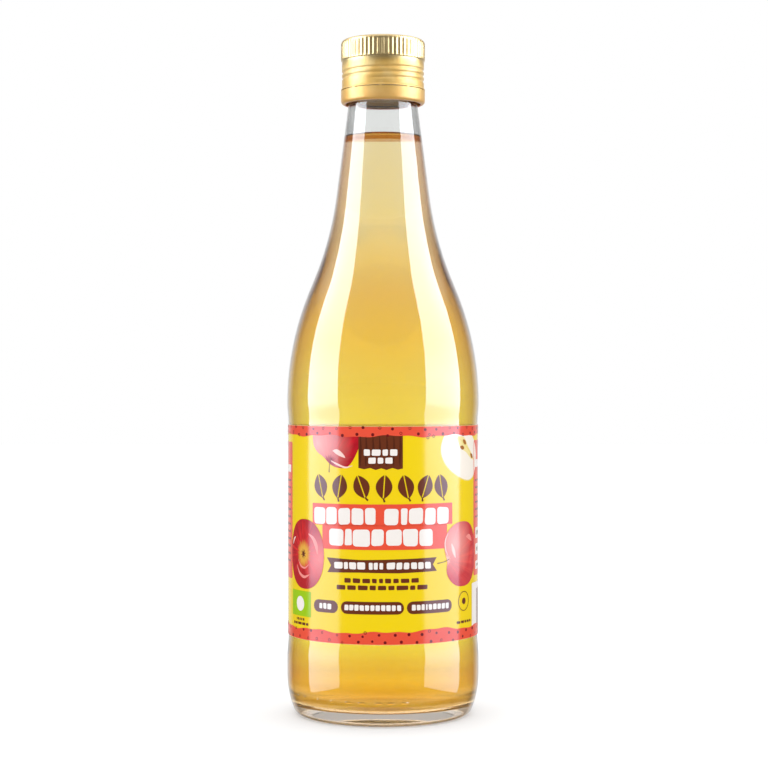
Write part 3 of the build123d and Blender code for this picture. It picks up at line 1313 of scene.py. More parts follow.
@dataclass
class ScrewCap:
    """The rolled-on aluminium cap.

    Attributes:
        top: height of the top.
        foot: height of the lower edge.
        radius: over the ribs and the lower band.
        skirt: radius of the plain skirt.
        sheet: thickness of the aluminium.
        steps: faces round the cap.
        rounded: radius of the top's edge.
        curl: radius of the curled lower edge.
        ledge: rounding where ribs and band step in to the skirt.
        rib_column: upper and lower end of the straight ribs, and the height of a face there.
        skirt_column: the same for the skirt.
        band: heights of the rings of faces on the tear band, the last where its edge curls in.
        ribs: how many grip ribs.
        flute_low: heights over which the flutes set in.
        flute_high: heights over which they run out.
        flute_depth: depth of a flute.
        lid: radius up to which the top stays plain.
        lid_rings: radii of the rings of faces on it.
        bridges: how many bridges hold the tear band.
        first_bridge: degrees where the first bridge stands.
        bridge_half: degrees to either side of its middle that a bridge takes.
        slit: heights of the slit's two edges.
        thread: start height, start angle, pitch and turns of the rolled thread.
        thread_depth: depth of its groove.
        thread_half: half the groove's width.
        thread_end: share of a turn over which the groove sets in and runs out.
        crease: degrees up to which the sheet's edges are shaded smooth.
    """

    top: float = 252.0
    foot: float = 228.0
    radius: float = 15.75
    skirt: float = 15.4
    sheet: float = 0.25
    steps: int = 360
    rounded: float = 1.5
    curl: float = 1.3
    ledge: float = 0.12
    rib_column: tuple[float, float, float] = (250.2, 244.8, 0.6)
    skirt_column: tuple[float, float, float] = (243.8, 234.6, 0.23)
    band: tuple[float, ...] = (231.6, 230.4, 229.3)
    ribs: int = 60
    flute_low: Point = (244.3, 244.9)
    flute_high: Point = (250.3, 251.1)
    flute_depth: float = 0.26
    lid: float = 14.6
    lid_rings: tuple[float, ...] = (4.5, 9.0, 12.5)
    bridges: int = 9
    first_bridge: float = 26.3
    bridge_half: float = 1.8
    slit: Point = (232.95, 233.25)
    thread: tuple[float, float, float, float] = (236.05, -104.0, 2.0, 2.35)
    thread_depth: float = 0.42
    thread_half: float = 0.8
    thread_end: float = 0.03
    crease: float = 40.0

    def outline(self) -> list[Point]:
        """The outside of the sheet from the middle of the top to the curled lower edge.

        Returns:
            The outline's points.
        """
        wide, stepped, narrow = self.radius, self.radius - self.ledge, self.skirt
        points = [(ring, self.top) for ring in (0.0, *self.lid_rings)]
        points += arc((wide - self.rounded, self.top - self.rounded), self.rounded, 90.0, 0.0, 12.0)
        points += self.column(wide, *self.rib_column)
        points += [(wide, 244.5), (stepped, 244.28), (narrow, 244.05)]
        points += self.column(narrow, *self.skirt_column)
        points += [(narrow, 233.95), (stepped, 233.72), (wide, 233.5)]
        points += [(wide, height) for height in (*self.slit[::-1], *self.band)]
        points += arc((wide - self.curl, self.band[-1]), self.curl, 0.0, -90.0, 15.0)
        return tidy([*points, (wide - 1.6, self.foot)])

    def column(self, radius: float, high: float, low: float, step: float) -> list[Point]:
        """Points straight down from high to low."""
        count = max(1, round((high - low) / step))
        return [(radius, high + (low - high) * i / count) for i in range(count + 1)]

    def flute(self, place: Vector) -> float:
        """Share of a flute's depth at a place on the rib band.

        Args:
            place: the place in millimetres.

        Returns:
            The share, 0 to 1.
        """
        if place.xy.length < self.lid:
            return 0.0
        fade = smoothstep(*self.flute_low, place.z) * (1.0 - smoothstep(*self.flute_high, place.z))
        return fade * math.sin(self.ribs / 2 * math.atan2(place.y, place.x)) ** 2

    def rolled(self, place: Vector) -> float:
        """Share of the thread's depth at a place on the skirt.

        Args:
            place: the place in millimetres.

        Returns:
            The share, 0 to 1.
        """
        start, angle, pitch, turns = self.thread
        end = self.thread_end
        round_once = (math.degrees(math.atan2(place.y, place.x)) - angle) / 360.0 % 1.0
        best = 0.0
        for turn in (round_once - 1.0, round_once, round_once + 1.0, round_once + 2.0):
            gap = abs(place.z - start - pitch * turn)
            inside = smoothstep(-end, end, turn) * (1.0 - smoothstep(turns - end, turns + end, turn))
            if gap < self.thread_half:
                best = max(best, inside * math.cos(math.pi / 2 * gap / self.thread_half) ** 2)
        return best

    def opened(self, place: Vector) -> bool:
        """Whether a face belongs to the open part of the slit.

        Args:
            place: the face's centre in millimetres.

        Returns:
            True where the sheet is cut through.
        """
        if not self.slit[0] < place.z < self.slit[1]:
            return False
        apart = 360.0 / self.bridges
        turn = (math.degrees(math.atan2(place.y, place.x)) - self.first_bridge) % apart
        return min(turn, apart - turn) > self.bridge_half

    def build(self, finish: bpy.types.Material) -> None:
        """Spins the sheet, presses its ribs and thread, cuts the slit and gives it its thickness.

        Args:
            finish: the cap's material.
        """
        cap = spun("screw_cap_shell", self.outline(), self.steps)
        push(cap, self.flute, -self.flute_depth)
        push(cap, self.rolled, -self.thread_depth)
        pick(cap, self.opened, faces=True)
        bpy.ops.mesh.delete(type="FACE")
        apply_modifier(cap, "SOLIDIFY", thickness=self.sheet * MM, offset=-1.0, use_rim=True)
        smooth(cap, self.crease)
        hand_over(cap, Slot.CAP, finish, "screw_cap")


# Label


class Print:
    """Shapes of one ink, drawn flat in the XZ plane and wrapped round the bottle as one thin layer.

    Distances across are millimetres round the bottle from the middle of the front.
    """

    WRAP = 35.8  # radius at which distances across are true
    GRAIN = 1.2  # widest face before the bend
    INNER = 35.55  # radii of the lowest ink
    OUTER = 35.58
    RISE = 0.02  # from one level to the next
    HAIR = 0.05  # narrowest line

    def __init__(self, name: str, level: int) -> None:
        """Starts an empty layer in edit mode.

        Args:
            name: name of the finished piece.
            level: 0 for the lowest ink, up to 6.
        """
        self.inside, self.outside = (radius + self.RISE * level for radius in (self.INNER, self.OUTER))
        deselect()
        bpy.ops.object.add(type="MESH", enter_editmode=True)
        self.piece = bpy.context.object
        self.piece.name = self.piece.data.name = name
        bpy.context.tool_settings.mesh_select_mode = (True, False, False)

    def block(
        self, left: float, right: float, low: float, high: float, corner: float = 0.0, turn: float = 0.0
    ) -> None:
        """Adds a rectangle, with rounded corners and turned by degrees if asked.

        Args:
            left: place across of its left edge.
            right: place across of its right edge.
            low: height of its lower edge.
            high: height of its upper edge.
            corner: size of its rounded corners.
            turn: degrees that it is turned.
        """
        middle = ((left + right) / 2 * MM, 0.0, (low + high) / 2 * MM)
        bpy.ops.mesh.select_all(action="DESELECT")
        bpy.ops.mesh.primitive_plane_add(size=MM, location=middle, rotation=(math.pi / 2, 0.0, 0.0))
        bpy.ops.transform.resize(value=(right - left, 1.0, high - low), center_override=middle)
        if turn:
            bpy.ops.transform.rotate(value=math.radians(turn), orient_axis="Y", center_override=middle)
        if corner:
            bpy.ops.mesh.bevel(offset=corner * MM, segments=4, affect="VERTICES")

    def disc(self, across: float, height: float, radius: float, sides: int = 14) -> None:
        """Adds a filled circle, its face left selected.

        Args:
            across: place across of its middle.
            height: height of its middle.
            radius: its radius.
            sides: how many corners it has.
        """
        bpy.ops.mesh.select_all(action="DESELECT")
        place = (across * MM, 0.0, height * MM)
        turned = (math.pi / 2, 0.0, 0.0)
        bpy.ops.mesh.primitive_circle_add(
            vertices=sides, radius=radius * MM, fill_type="NGON", location=place, rotation=turned
        )

    def ring(self, across: float, height: float, radius: float, width: float, sides: int = 18) -> None:
        """Adds an open ring.

        Args:
            across: place across of its middle.
            height: height of its middle.
            radius: outer radius.
            width: width of its line.
            sides: how many corners it has.
        """
        self.disc(across, height, radius, sides)
        bpy.context.tool_settings.mesh_select_mode = (False, False, True)
        bpy.ops.mesh.inset(thickness=width * MM)
        bpy.ops.mesh.delete(type="FACE")
        bpy.context.tool_settings.mesh_select_mode = (True, False, False)

    def shape(self, points: Sequence[Point]) -> None:
        """Adds a face with any outline, drawn point by point.

        Args:
            points: places across and heights of its corners, in order.
        """
        bpy.ops.mesh.select_all(action="DESELECT")
        bpy.ops.mesh.primitive_plane_add(size=MM)
        places = [Vector((across, 0.0, height)) * MM for across, height in points]
        trail(places[0], [there - here for here, there in zip(places, places[1:])])
        bpy.ops.mesh.select_linked()
        bpy.ops.mesh.edge_face_add()

    def stroke(self, points: Sequence[Point], widths: Sequence[float]) -> None:
        """Adds a smooth line of changing width through points.

        Args:
            points: places across and heights that it passes.
            widths: its width at each.
        """
        knots = [Vector((across, height, width)) for (across, height), width in zip(points, widths)]
        knots = [2 * knots[0] - knots[1], *knots, 2 * knots[-1] - knots[-2]]
        line = []
        for one, two, three, four in zip(knots, knots[1:], knots[2:], knots[3:]):
            square = 2 * one - 5 * two + 4 * three - four
            cube = 3 * two - one - 3 * three + four
            for t in (0.0, 0.2, 0.4, 0.6, 0.8):
                line.append(0.5 * (2 * two + (three - one) * t + square * t**2 + cube * t**3))
        line.append(knots[-2])
        left, right = [], []
        for before, knot, after in zip([line[0], *line], line, [*line[1:], line[-1]]):
            run = (after - before).xy.normalized() * max(self.HAIR, knot.z) / 2
            left.append((knot.x - run.y, knot.y + run.x))
            right.append((knot.x + run.y, knot.y - run.x))
        self.shape(left + right[::-1])

    def words(
        self, left: float, right: float, low: float, high: float, widths: Sequence[float], gap: float
    ) -> None:
        """Adds a row of plain hand-cut blocks of given relative widths, with one gap between them.

        Args:
            left: place across where the row begins.
            right: place across where it ends.
            low: height of its lower edge.
            high: height of its upper edge.
            widths: relative widths of the blocks.
            gap: between two blocks.
        """
        room = right - left - gap * (len(widths) - 1)
        start = left
        slip = 0.045 * (high - low)
        rng = random.Random(round(left * 10 + low))
        for width in widths:
            end = start + room * width / sum(widths)
            corners = []
            for corner in ((start, low), (end, low), (end, high), (start, high)):
                corners.append(tuple(side + rng.uniform(-slip, slip) for side in corner))
            self.shape(corners)
            rounding = min(0.2 * (high - low), 0.25 * (end - start))
            bpy.ops.mesh.bevel(offset=rounding * MM, segments=3, affect="VERTICES")
            start = end + gap

    def trim(self, height: float) -> None:
        """Cuts off all that lies above a height.

        Args:
            height: the height.
        """
        bpy.ops.mesh.select_all(action="SELECT")
        bpy.ops.mesh.bisect(
            plane_co=(0.0, 0.0, height * MM), plane_no=(0.0, 0.0, 1.0), clear_outer=True, threshold=CUT
        )

    def chart(self, middle: Point, half: Point) -> None:
        """Writes flat coordinates of -1 to 1, for finishes that follow a shape.

        Args:
            middle: place that becomes 0, 0.
            half: distances from it that become 1.
        """
        bpy.ops.object.mode_set(mode="OBJECT")
        mesh = self.piece.data
        layer = mesh.uv_layers.new(name="flat")
        spots = []
        for loop in mesh.loops:
            place = mesh.vertices[loop.vertex_index].co / MM
            spots += [(place.x - middle[0]) / half[0], (place.z - middle[1]) / half[1]]
        layer.data.foreach_set("uv", spots)
        bpy.ops.object.mode_set(mode="EDIT")

    def wrap(self) -> Piece:
        """Cuts the layer fine enough to bend, gives it its thickness and rolls it round the bottle.

        Returns:
            The finished piece.
        """
        piece = self.piece
        bpy.ops.object.mode_set(mode="OBJECT")
        across = [vertex.co.x for vertex in piece.data.vertices]
        left, width = min(across), max(across) - min(across)
        bpy.ops.object.mode_set(mode="EDIT")
        count = math.ceil(width / (self.GRAIN * MM))
        for index in range(1, count):
            bpy.ops.mesh.select_all(action="SELECT")
            cut = (left + width * index / count, 0.0, 0.0)
            bpy.ops.mesh.bisect(plane_co=cut, plane_no=(1.0, 0.0, 0.0), threshold=CUT)
        bpy.ops.mesh.select_all(action="SELECT")
        thickness = (self.outside - self.inside) * MM
        bpy.ops.mesh.extrude_region_move(TRANSFORM_OT_translate={"value": (0.0, -thickness, 0.0)})
        bpy.ops.mesh.select_all(action="SELECT")
        bpy.ops.transform.translate(value=(0.0, (self.WRAP - self.inside) * MM, 0.0))
        bpy.ops.mesh.normals_make_consistent(inside=False)
        bend = {"deform_method": "BEND", "deform_axis": "Z", "angle": width / (self.WRAP * MM)}
        apply_modifier(piece, "SIMPLE_DEFORM", **bend)
        take(piece)
        piece.location.y = -self.WRAP * MM
        bpy.ops.object.transform_apply(location=True, rotation=False, scale=False)
        smooth(piece)
        return piece


def fruit(
    middle: Point, half: Point, dents: Sequence[tuple[float, ...]] = (), tilt: float = 0.0,
    square: float = 1.0,
) -> list[Point]:
    """The outline of an apple.

    Args:
        middle: its centre.
        half: half its width and height.
        dents: direction in degrees, depth and width in degrees of each hollow.
        tilt: degrees that the whole outline leans.
        square: 1 for an oval, less for a squarer outline.

    Returns:
        The outline's points.
    """
    points = []
    sides = 72
    for index in range(sides):
        turn = math.tau * index / sides
        reach = 1.0
        for direction, depth, width in dents:
            gap = (math.degrees(turn) - direction + 180.0) % 360.0 - 180.0
            reach -= depth * math.exp(-((gap / width) ** 2))
        ways = zip(half, (math.cos(turn), math.sin(turn)))
        point = [size * reach * math.copysign(abs(way) ** square, way) for size, way in ways]
        points.append(leant(point, math.radians(tilt), middle))
    return points


def uneven(rng: random.Random, count: int, least: float, most: float) -> list[float]:
    """Random widths for a row of blocks."""
    return [rng.uniform(least, most) for _ in range(count)]


@dataclass
class PaperLabel:
    """The wrap-round label: paper, yellow ground, bands, panels, banner, fruit and small marks.

    Attributes:
        shared: effects for the inks.
        low: height of the lower edge.
        high: height of the upper edge.
        paper: inner and outer radius of the paper.
        half: half the way round the bottle.
        faces: how many faces the paper has round the bottle.
        cut: how far below the upper edge the fruit is cut off.
        pips: how many pips a row of a band has.
        seed: start of the scatter of the pips.
        inks: the materials of the inks.
    """

    shared: Shared
    low: float = 30.0
    high: float = 108.0
    paper: tuple[float, float] = (35.40, 35.56)
    half: float = 112.4
    faces: int = 224
    cut: float = 0.15
    pips: int = 82
    seed: int = 11
    inks: dict[Ink, bpy.types.Material] = field(default_factory=dict)

    def build(self) -> None:
        """Prints every layer from the paper outwards."""
        for ink in Ink:
            self.inks[ink] = Printed(f"ink_{ink.name.lower()}", ink.value).build(self.shared)
        self.print_ground()
        self.print_panels()
        self.print_bands()
        self.print_banner()
        self.print_marks()
        self.print_back_fruit()
        self.print_front_fruit()

    def ink(self, layer: Print, ink: Ink) -> None:
        """Wraps a layer and hands it over in one ink."""
        hand_over(layer.wrap(), Slot.LABEL, self.inks[ink], "label")

    def print_ground(self) -> None:
        """The paper, its yellow ground and the cut edge at the seam."""
        inside, outside = self.paper
        back = PaperBack("paper_back", Ink.CREAM.value).build(self.shared)
        layers = (
            ("label_back", inside, inside + 0.05, 0.02, back),
            ("label_sheet", inside + 0.04, outside, 0.0, self.inks[Ink.WHITE]),
            ("label_ground", outside - 0.02, outside + 0.02, 0.05, self.inks[Ink.YELLOW]),
        )
        for name, near, far, short, finish in layers:
            low, high = self.low + short, self.high - short
            edges = [(near, low), (far, low), (far, high), (near, high), (near, low)]
            hand_over(spun(name, edges, self.faces), Slot.LABEL, finish, "label")
        seam = Print("label_seam", 6)
        seam.block(self.half - 0.5, self.half, self.low + 0.02, self.high - 0.02)
        self.ink(seam, Ink.WHITE)

    def print_panels(self) -> None:
        """Coral panels at the sides with their white headings, lines and boxes, and the white bar field."""
        panels = Print("side_panels", 2)
        panels.block(-103.0, -43.6, 51.4, 101.8, 0.8)
        panels.block(43.6, 103.0, 52.4, 102.4, 0.8)
        self.ink(panels, Ink.CORAL)
        marks = Print("side_panel_marks", 3)
        marks.block(-100.0, -45.3, 90.6, 93.3, 0.4)
        marks.block(45.6, 100.0, 92.4, 95.2, 0.4)
        for low, high in ((66.0, 70.0), (60.0, 64.0), (54.6, 57.6)):
            marks.block(46.2, 99.0, low, high, 0.3)
        marks.block(41.7, 70.0, 30.7, 49.9, 0.5)
        self.ink(marks, Ink.WHITE)
        lines = Print("side_panel_lines", 3)
        rng = random.Random(self.seed)
        for row in range(12):
            height = 87.2 - 2.7 * row
            for start, end in ((-100.0, -46.0), (46.0, 100.0)):
                if start < 0 or height > 72.5:
                    lines.words(start, end, height, height + 0.7, uneven(rng, 10, 0.6, 2.2), 1.2)
        self.ink(lines, Ink.MAROON)
        dark = Print("bar_field_marks", 4)
        across = 47.5
        while across < 68.0:
            width = rng.choice((0.35, 0.7, 1.05))
            dark.block(across, across + width, 33.6, 47.4)
            across += width + rng.choice((0.45, 0.8, 1.1))
        for low, high in ((67.2, 68.8), (61.2, 62.8), (55.6, 56.6)):
            dark.words(48.0, 97.0, low, high, uneven(rng, 9, 0.6, 2.0), 3.0)
        self.ink(dark, Ink.BROWN)

    def wave(self, across: float, height: float, phase: float) -> float:
        """Height of a hand-cut edge at a place across."""
        turn = across / self.half * math.pi
        return height + 0.34 * math.sin(9 * turn + phase) + 0.2 * math.sin(23 * turn + 2 * phase)

    def print_bands(self) -> None:
        """Coral bands along both edges, with pips scattered over them."""
        bands = Print("edge_bands", 4)
        steps = [-self.half + 2 * self.half * index / 150 for index in range(151)]
        top = [(s, self.wave(s, 104.5, 0.7)) for s in steps]
        bands.shape([*top, (self.half, self.high - 0.1), (-self.half, self.high - 0.1)])
        foot = [(s, self.wave(s, 34.2 + 0.9 * math.exp(-(((s - 18.0) / 14.0) ** 2)), 2.1)) for s in steps]
        bands.shape([*foot, (self.half, self.low + 0.1), (-self.half, self.low + 0.1)])
        self.ink(bands, Ink.CORAL)
        pips = Print("band_pips", 5)
        rng = random.Random(self.seed)
        edge, pen = 1.6, 0.19
        for low, high in ((30.9, 33.4), (105.2, 107.3)):
            for index in range(self.pips):
                across = -self.half + edge + index * 2 * (self.half - edge) / (self.pips - 1)
                across += rng.uniform(-0.7, 0.7)
                height = (low if index % 2 else high) + rng.uniform(-0.5, 0.4)
                size = rng.uniform(0.44, 0.6)
                if rng.random() < 0.45:
                    pips.ring(across, height, size, pen, 12)
                else:
                    pips.disc(across, height, size, 10)
        for across, height in ((-6.4, 34.3), (17.4, 34.5), (16.8, 103.9), (19.2, 104.4), (-36.9, 104.6)):
            pips.ring(across, height, 0.56, pen, 12)
        self.ink(pips, Ink.MAROON)

    def leaf(self, layer: Print, across: float, height: float, long: float, wide: float, tilt: float) -> None:
        """A pointed leaf in two halves, either side of an open rib.

        Args:
            layer: the ink's layer.
            across: place across of its middle.
            height: height of its middle.
            long: its length.
            wide: its width.
            tilt: degrees that it leans.
        """
        lean = math.radians(tilt)
        rib = 0.22
        for side in (-1.0, 1.0):
            points = []
            for index in range(11):
                share = index / 10
                out = rib + (wide / 2 - rib) * math.sin(math.pi * share) ** 0.8
                points.append(leant((side * out, (share - 0.5) * long), lean, (across, height)))
            layer.shape(points)

    def print_banner(self) -> None:
        """The brown tab, the row of leaves, the coral banner, the ribbon, the pills and the green field."""
        coral = Print("banner", 3)
        coral.block(-28.5, 28.0, 72.5, 80.2, 0.3, 0.15)
        coral.block(-23.6, 25.3, 63.9, 72.7, 0.3)
        self.ink(coral, Ink.CORAL)
        brown = Print("brown_fields", 3)
        tab = [(7.2, 93.0), (5.4, 92.6), (3.4, 93.2), (1.3, 92.5), (-0.6, 93.1), (-2.6, 92.5)]
        tab += [(-4.6, 93.2), (-6.8, 92.7)]
        brown.shape([(-8.9, 93.2), (-8.9, 105.2), (7.2, 105.2), *tab])
        middle, stem = 86.4, 4.0
        tilts = (14.0, -10.0, 20.0, -4.0, 12.0, -18.0, 10.0)
        for across, tilt in zip((-24.5, -16.2, -7.8, 0.4, 8.4, 15.8, 22.6), tilts):
            self.leaf(brown, across, middle, 8.6, 6.0, tilt)
            lean = math.radians(tilt)
            foot = (across + stem * math.sin(lean), middle - stem * math.cos(lean))
            tip = (foot[0] + 1.5 * math.sin(lean + 0.4), foot[1] - 1.5 * math.cos(lean + 0.4))
            brown.stroke((foot, tip), (0.5, 0.7))
        ribbon = [(-21.5, 60.8), (-8.0, 60.3), (6.0, 60.6), (20.5, 60.9), (18.9, 58.4), (20.6, 56.0)]
        ribbon += [(6.0, 55.6), (-8.0, 55.8)]
        brown.shape([*ribbon, (-21.3, 55.5), (-19.7, 58.0)])
        for left, right in ((-27.8, -16.9), (-15.6, 7.6), (8.7, 27.7)):
            brown.block(left, right, 40.9, 45.4, 2.2)
        rng = random.Random(self.seed + 1)
        for left, right, low in ((-14.2, 13.2, 52.1), (-17.3, 16.6, 49.6)):
            brown.words(left, right, low, low + 1.6, uneven(rng, 9, 0.7, 1.8), 0.8)
        for left, right, low in ((-39.0, -33.5, 36.9), (-41.5, -31.0, 35.3), (30.5, 40.2, 36.0)):
            brown.words(left, right, low, low + 0.9, uneven(rng, 5, 0.7, 1.5), 0.5)
        brown.ring(35.0, 44.0, 3.6, 0.28, 32)
        brown.disc(35.0, 44.0, 1.2, 20)
        self.ink(brown, Ink.BROWN)
        grain = Print("tab_grain", 4)
        for across in (-8.2, -6.1, -3.6, -1.2, 1.4, 3.9, 6.2):
            line = ((across, 104.4), (across + 0.15, 100.0), (across - 0.1, 96.0), (across, 93.8))
            grain.stroke(line, (0.25, 0.8, 0.6, 0.2))
        self.ink(grain, Ink.DARK_BROWN)
        green = Print("green_field", 3)
        green.block(-42.9, -29.5, 38.5, 47.7, 0.2)
        self.ink(green, Ink.GREEN)

    def lines(self, name: str, level: int, ink: Ink, *strokes: Stroke) -> None:
        """Prints smooth lines in one ink.

        Args:
            name: name of the piece.
            level: its level among the inks.
            ink: its ink.
            strokes: each line's points and its widths at them.
        """
        layer = Print(name, level)
        for points, widths in strokes:
            layer.stroke(points, widths)
        self.ink(layer, ink)

    def print_marks(self) -> None:
        """White blocks on the tab, banner, ribbon and pills, and the disc on the green field."""
        white = Print("white_marks", 5)
        tab, banner, ribbon, pills = (97.6, 99.8), (72.9, 78.8), (57.0, 59.4), (42.2, 44.2)
        rows = (
            (-6.9, 5.2, tab, (1.0, 1.4, 0.9, 1.2), 0.7),
            (-5.3, 3.4, (94.8, 96.9), (1.3, 1.0, 1.2), 0.7),
            (-27.3, -2.5, banner, (1.1, 1.0, 1.0, 0.9, 0.9), 0.7),
            (0.6, 25.9, banner, (1.0, 0.5, 1.1, 0.9, 1.0), 0.7),
            (-20.3, 18.6, (65.3, 71.3), (1.1, 0.5, 1.2, 0.9, 1.1, 1.1, 1.0), 0.7),
            (-18.3, -6.4, ribbon, (1.3, 0.6, 1.0, 1.1), 0.5),
            (-5.0, 0.0, ribbon, (1.0, 1.1, 1.0), 0.5),
            (1.4, 18.0, ribbon, (1.4, 1.0, 1.0, 1.1, 1.0, 1.1), 0.5),
            (-25.0, -19.6, pills, (1.0, 1.0, 1.2), 0.4),
            (-14.2, 6.6, pills, (1.0,) * 11, 0.4),
            (10.5, 26.1, pills, (1.0, 1.0, 0.9, 0.5, 1.0, 1.0, 1.0, 1.0, 1.0), 0.4),
        )
        for left, right, (low, high), widths, gap in rows:
            white.words(left, right, low, high, widths, gap)
        white.disc(-36.2, 43.0, 2.7, 28)
        self.ink(white, Ink.WHITE)

    def apple(
        self, level: int, middle: Point, half: Point, finish: PrintedApple,
        dents: Sequence[tuple[float, ...]] = (), square: float = 1.0,
    ) -> None:
        """Prints one shaded apple, cut off under the top edge of the label.

        Args:
            level: its level among the inks.
            middle: its centre.
            half: half its width and height.
            finish: its shades, which also name the piece.
            dents: direction in degrees, depth and width in degrees of each hollow.
            square: 1 for an oval, less for a squarer outline.
        """
        layer = Print(finish.name, level)
        layer.shape(fruit(middle, half, dents, square=square))
        layer.trim(self.high - self.cut)
        layer.chart(middle, half)
        hand_over(layer.wrap(), Slot.LABEL, finish.build(self.shared), "label")

    def print_back_fruit(self) -> None:
        """The whole apple and the cut one that hang behind the upper band."""
        # its pale left side is partly print, partly a painted reflection of the lamp on the varnish
        finish = PrintedApple(
            "apple_hanging", linear(176, 10, 30), skin=linear(216, 22, 42), glow=linear(250, 166, 154),
            hollow=linear(168, 26, 40), pole=(-0.2, -0.85, 0.0), lit=(-0.75, -0.2, 0.0),
            hollow_size=0.3, lit_size=1.5,
        )
        self.apple(1, (-18.4, 103.6), (10.1, 10.4), finish, ((-125.0, 0.2, 28.0), (-62.0, -0.1, 20.0)))
        for name, level, ink, height, half in (
            ("cut_apple_rind", 1, Ink.RIND, 97.9, (12.6, 9.2)),
            ("cut_apple_flesh", 2, Ink.CREAM, 98.0, (12.3, 8.9)),
        ):
            layer = Print(name, level)
            layer.shape(fruit((34.6, height), half, tilt=-24.0, square=0.88))
            layer.trim(self.high - self.cut)
            self.ink(layer, ink)
        core = ((31.0, 103.8), (34.0, 101.8), (37.4, 99.2), (40.6, 96.9), (43.4, 95.4))
        self.lines("cut_apple_core", 3, Ink.CORE, (core, (1.0, 4.4, 2.6, 2.0, 0.6)))
        fibre = ((32.0, 103.4), (35.4, 101.2), (39.2, 98.6), (42.4, 96.0))
        self.lines("cut_apple_fibre", 4, Ink.RIND, (fibre, (0.2, 0.5, 0.5, 0.15)))
        seeds = []
        for across, height, tilt in ((35.4, 102.0, -38.0), (33.8, 100.0, -12.0), (41.2, 96.8, -34.0)):
            lean = math.radians(tilt)
            run = (math.cos(lean), math.sin(lean))
            seed = [(across + run[0] * t, height + run[1] * t) for t in (-1.4, -0.8, 0.1, 0.9, 1.3)]
            seeds.append((seed, (0.15, 1.0, 1.5, 1.0, 0.3)))
        self.lines("cut_apple_seeds", 5, Ink.SEED_BROWN, *seeds)
        stalk = ((-20.6, 91.4), (-20.5, 93.4), (-20.1, 95.2), (-19.4, 96.6))
        self.lines("apple_hanging_stalk", 4, Ink.BROWN, (stalk, (0.4, 0.24, 0.24, 0.3)))
        self.lines(
            "apple_hanging_light", 3, Ink.GLINT,
            (((-19.0, 99.2), (-17.4, 98.9), (-15.6, 97.9), (-14.0, 96.8)), (0.3, 1.7, 1.5, 0.3)),
            (((-20.0, 95.7), (-17.2, 94.4), (-14.0, 93.3), (-11.2, 93.9)), (0.2, 0.7, 0.6, 0.15)),
        )

    def print_front_fruit(self) -> None:
        """The two apples that lie over the banner's lower corners."""
        # its pink right side is partly print, partly a painted reflection of the lamp on the varnish
        eye_up = PrintedApple(
            "apple_eye_up", linear(176, 24, 34), skin=linear(232, 44, 42), glow=linear(244, 132, 128),
            hollow=linear(230, 172, 62), pole=(-0.06, 0.0, 0.0), lit=(0.8, -0.1, 0.0),
            hollow_size=0.42, lit_size=0.9,
        )
        self.apple(5, (-33.2, 61.3), (10.3, 12.7), eye_up, square=0.88)
        side_on = PrintedApple(
            "apple_side_on", linear(202, 58, 64), skin=linear(240, 88, 82), glow=linear(252, 176, 166),
            hollow=linear(250, 190, 172), pole=(-0.9, -0.15, 0.0), lit=(-0.5, 0.35, 0.0),
            hollow_size=0.2, lit_size=1.1,
        )
        dents = ((190.0, 0.13, 13.0), (150.0, -0.05, 22.0))
        self.apple(5, (34.1, 61.3), (10.1, 11.8), side_on, dents, 0.84)
        self.lines(
            "apple_blushes", 6, Ink.BLUSH,
            (((-30.8, 68.8), (-28.2, 67.2), (-26.6, 64.6), (-26.0, 61.6)), (0.3, 1.3, 1.5, 0.3)),
            (((-38.6, 57.0), (-36.6, 54.2), (-33.4, 52.9), (-30.2, 54.0)), (0.2, 0.9, 1.0, 0.2)),
            (((-37.4, 59.0), (-35.8, 56.9), (-33.0, 56.2), (-30.6, 57.6)), (0.2, 0.6, 0.6, 0.2)),
            (((36.6, 67.4), (38.8, 67.2), (41.0, 65.6)), (0.4, 2.0, 0.4)),
        )
        self.lines(
            "apple_lights", 6, Ink.GLINT,
            (((-42.2, 64.4), (-41.2, 66.2), (-39.8, 67.2)), (0.2, 0.9, 0.2)),
            (((27.6, 65.4), (28.6, 62.8), (29.6, 60.2)), (0.4, 1.5, 0.4)),
            (((25.8, 69.2), (24.4, 66.4), (24.6, 63.4), (25.6, 61.4)), (0.15, 0.45, 0.45, 0.15)),
        )
        dark = Print("apple_darks", 6)
        eye = (-33.9, 61.3)
        for turn in range(0, 360, 45):
            lean = math.radians(turn + 12)
            run = (math.cos(lean), math.sin(lean))
            petal = [(eye[0] + run[0] * t, eye[1] + run[1] * t * 1.15) for t in (0.4, 1.0, 1.6)]
            dark.stroke(petal, (0.55, 0.35, 0.1))
        dark.disc(*eye, 0.6, 16)
        dark.stroke(((20.8, 58.6), (22.6, 58.8), (24.6, 59.2), (26.4, 59.9)), (0.4, 0.22, 0.22, 0.3))
        self.ink(dark, Ink.BROWN)


# Studio


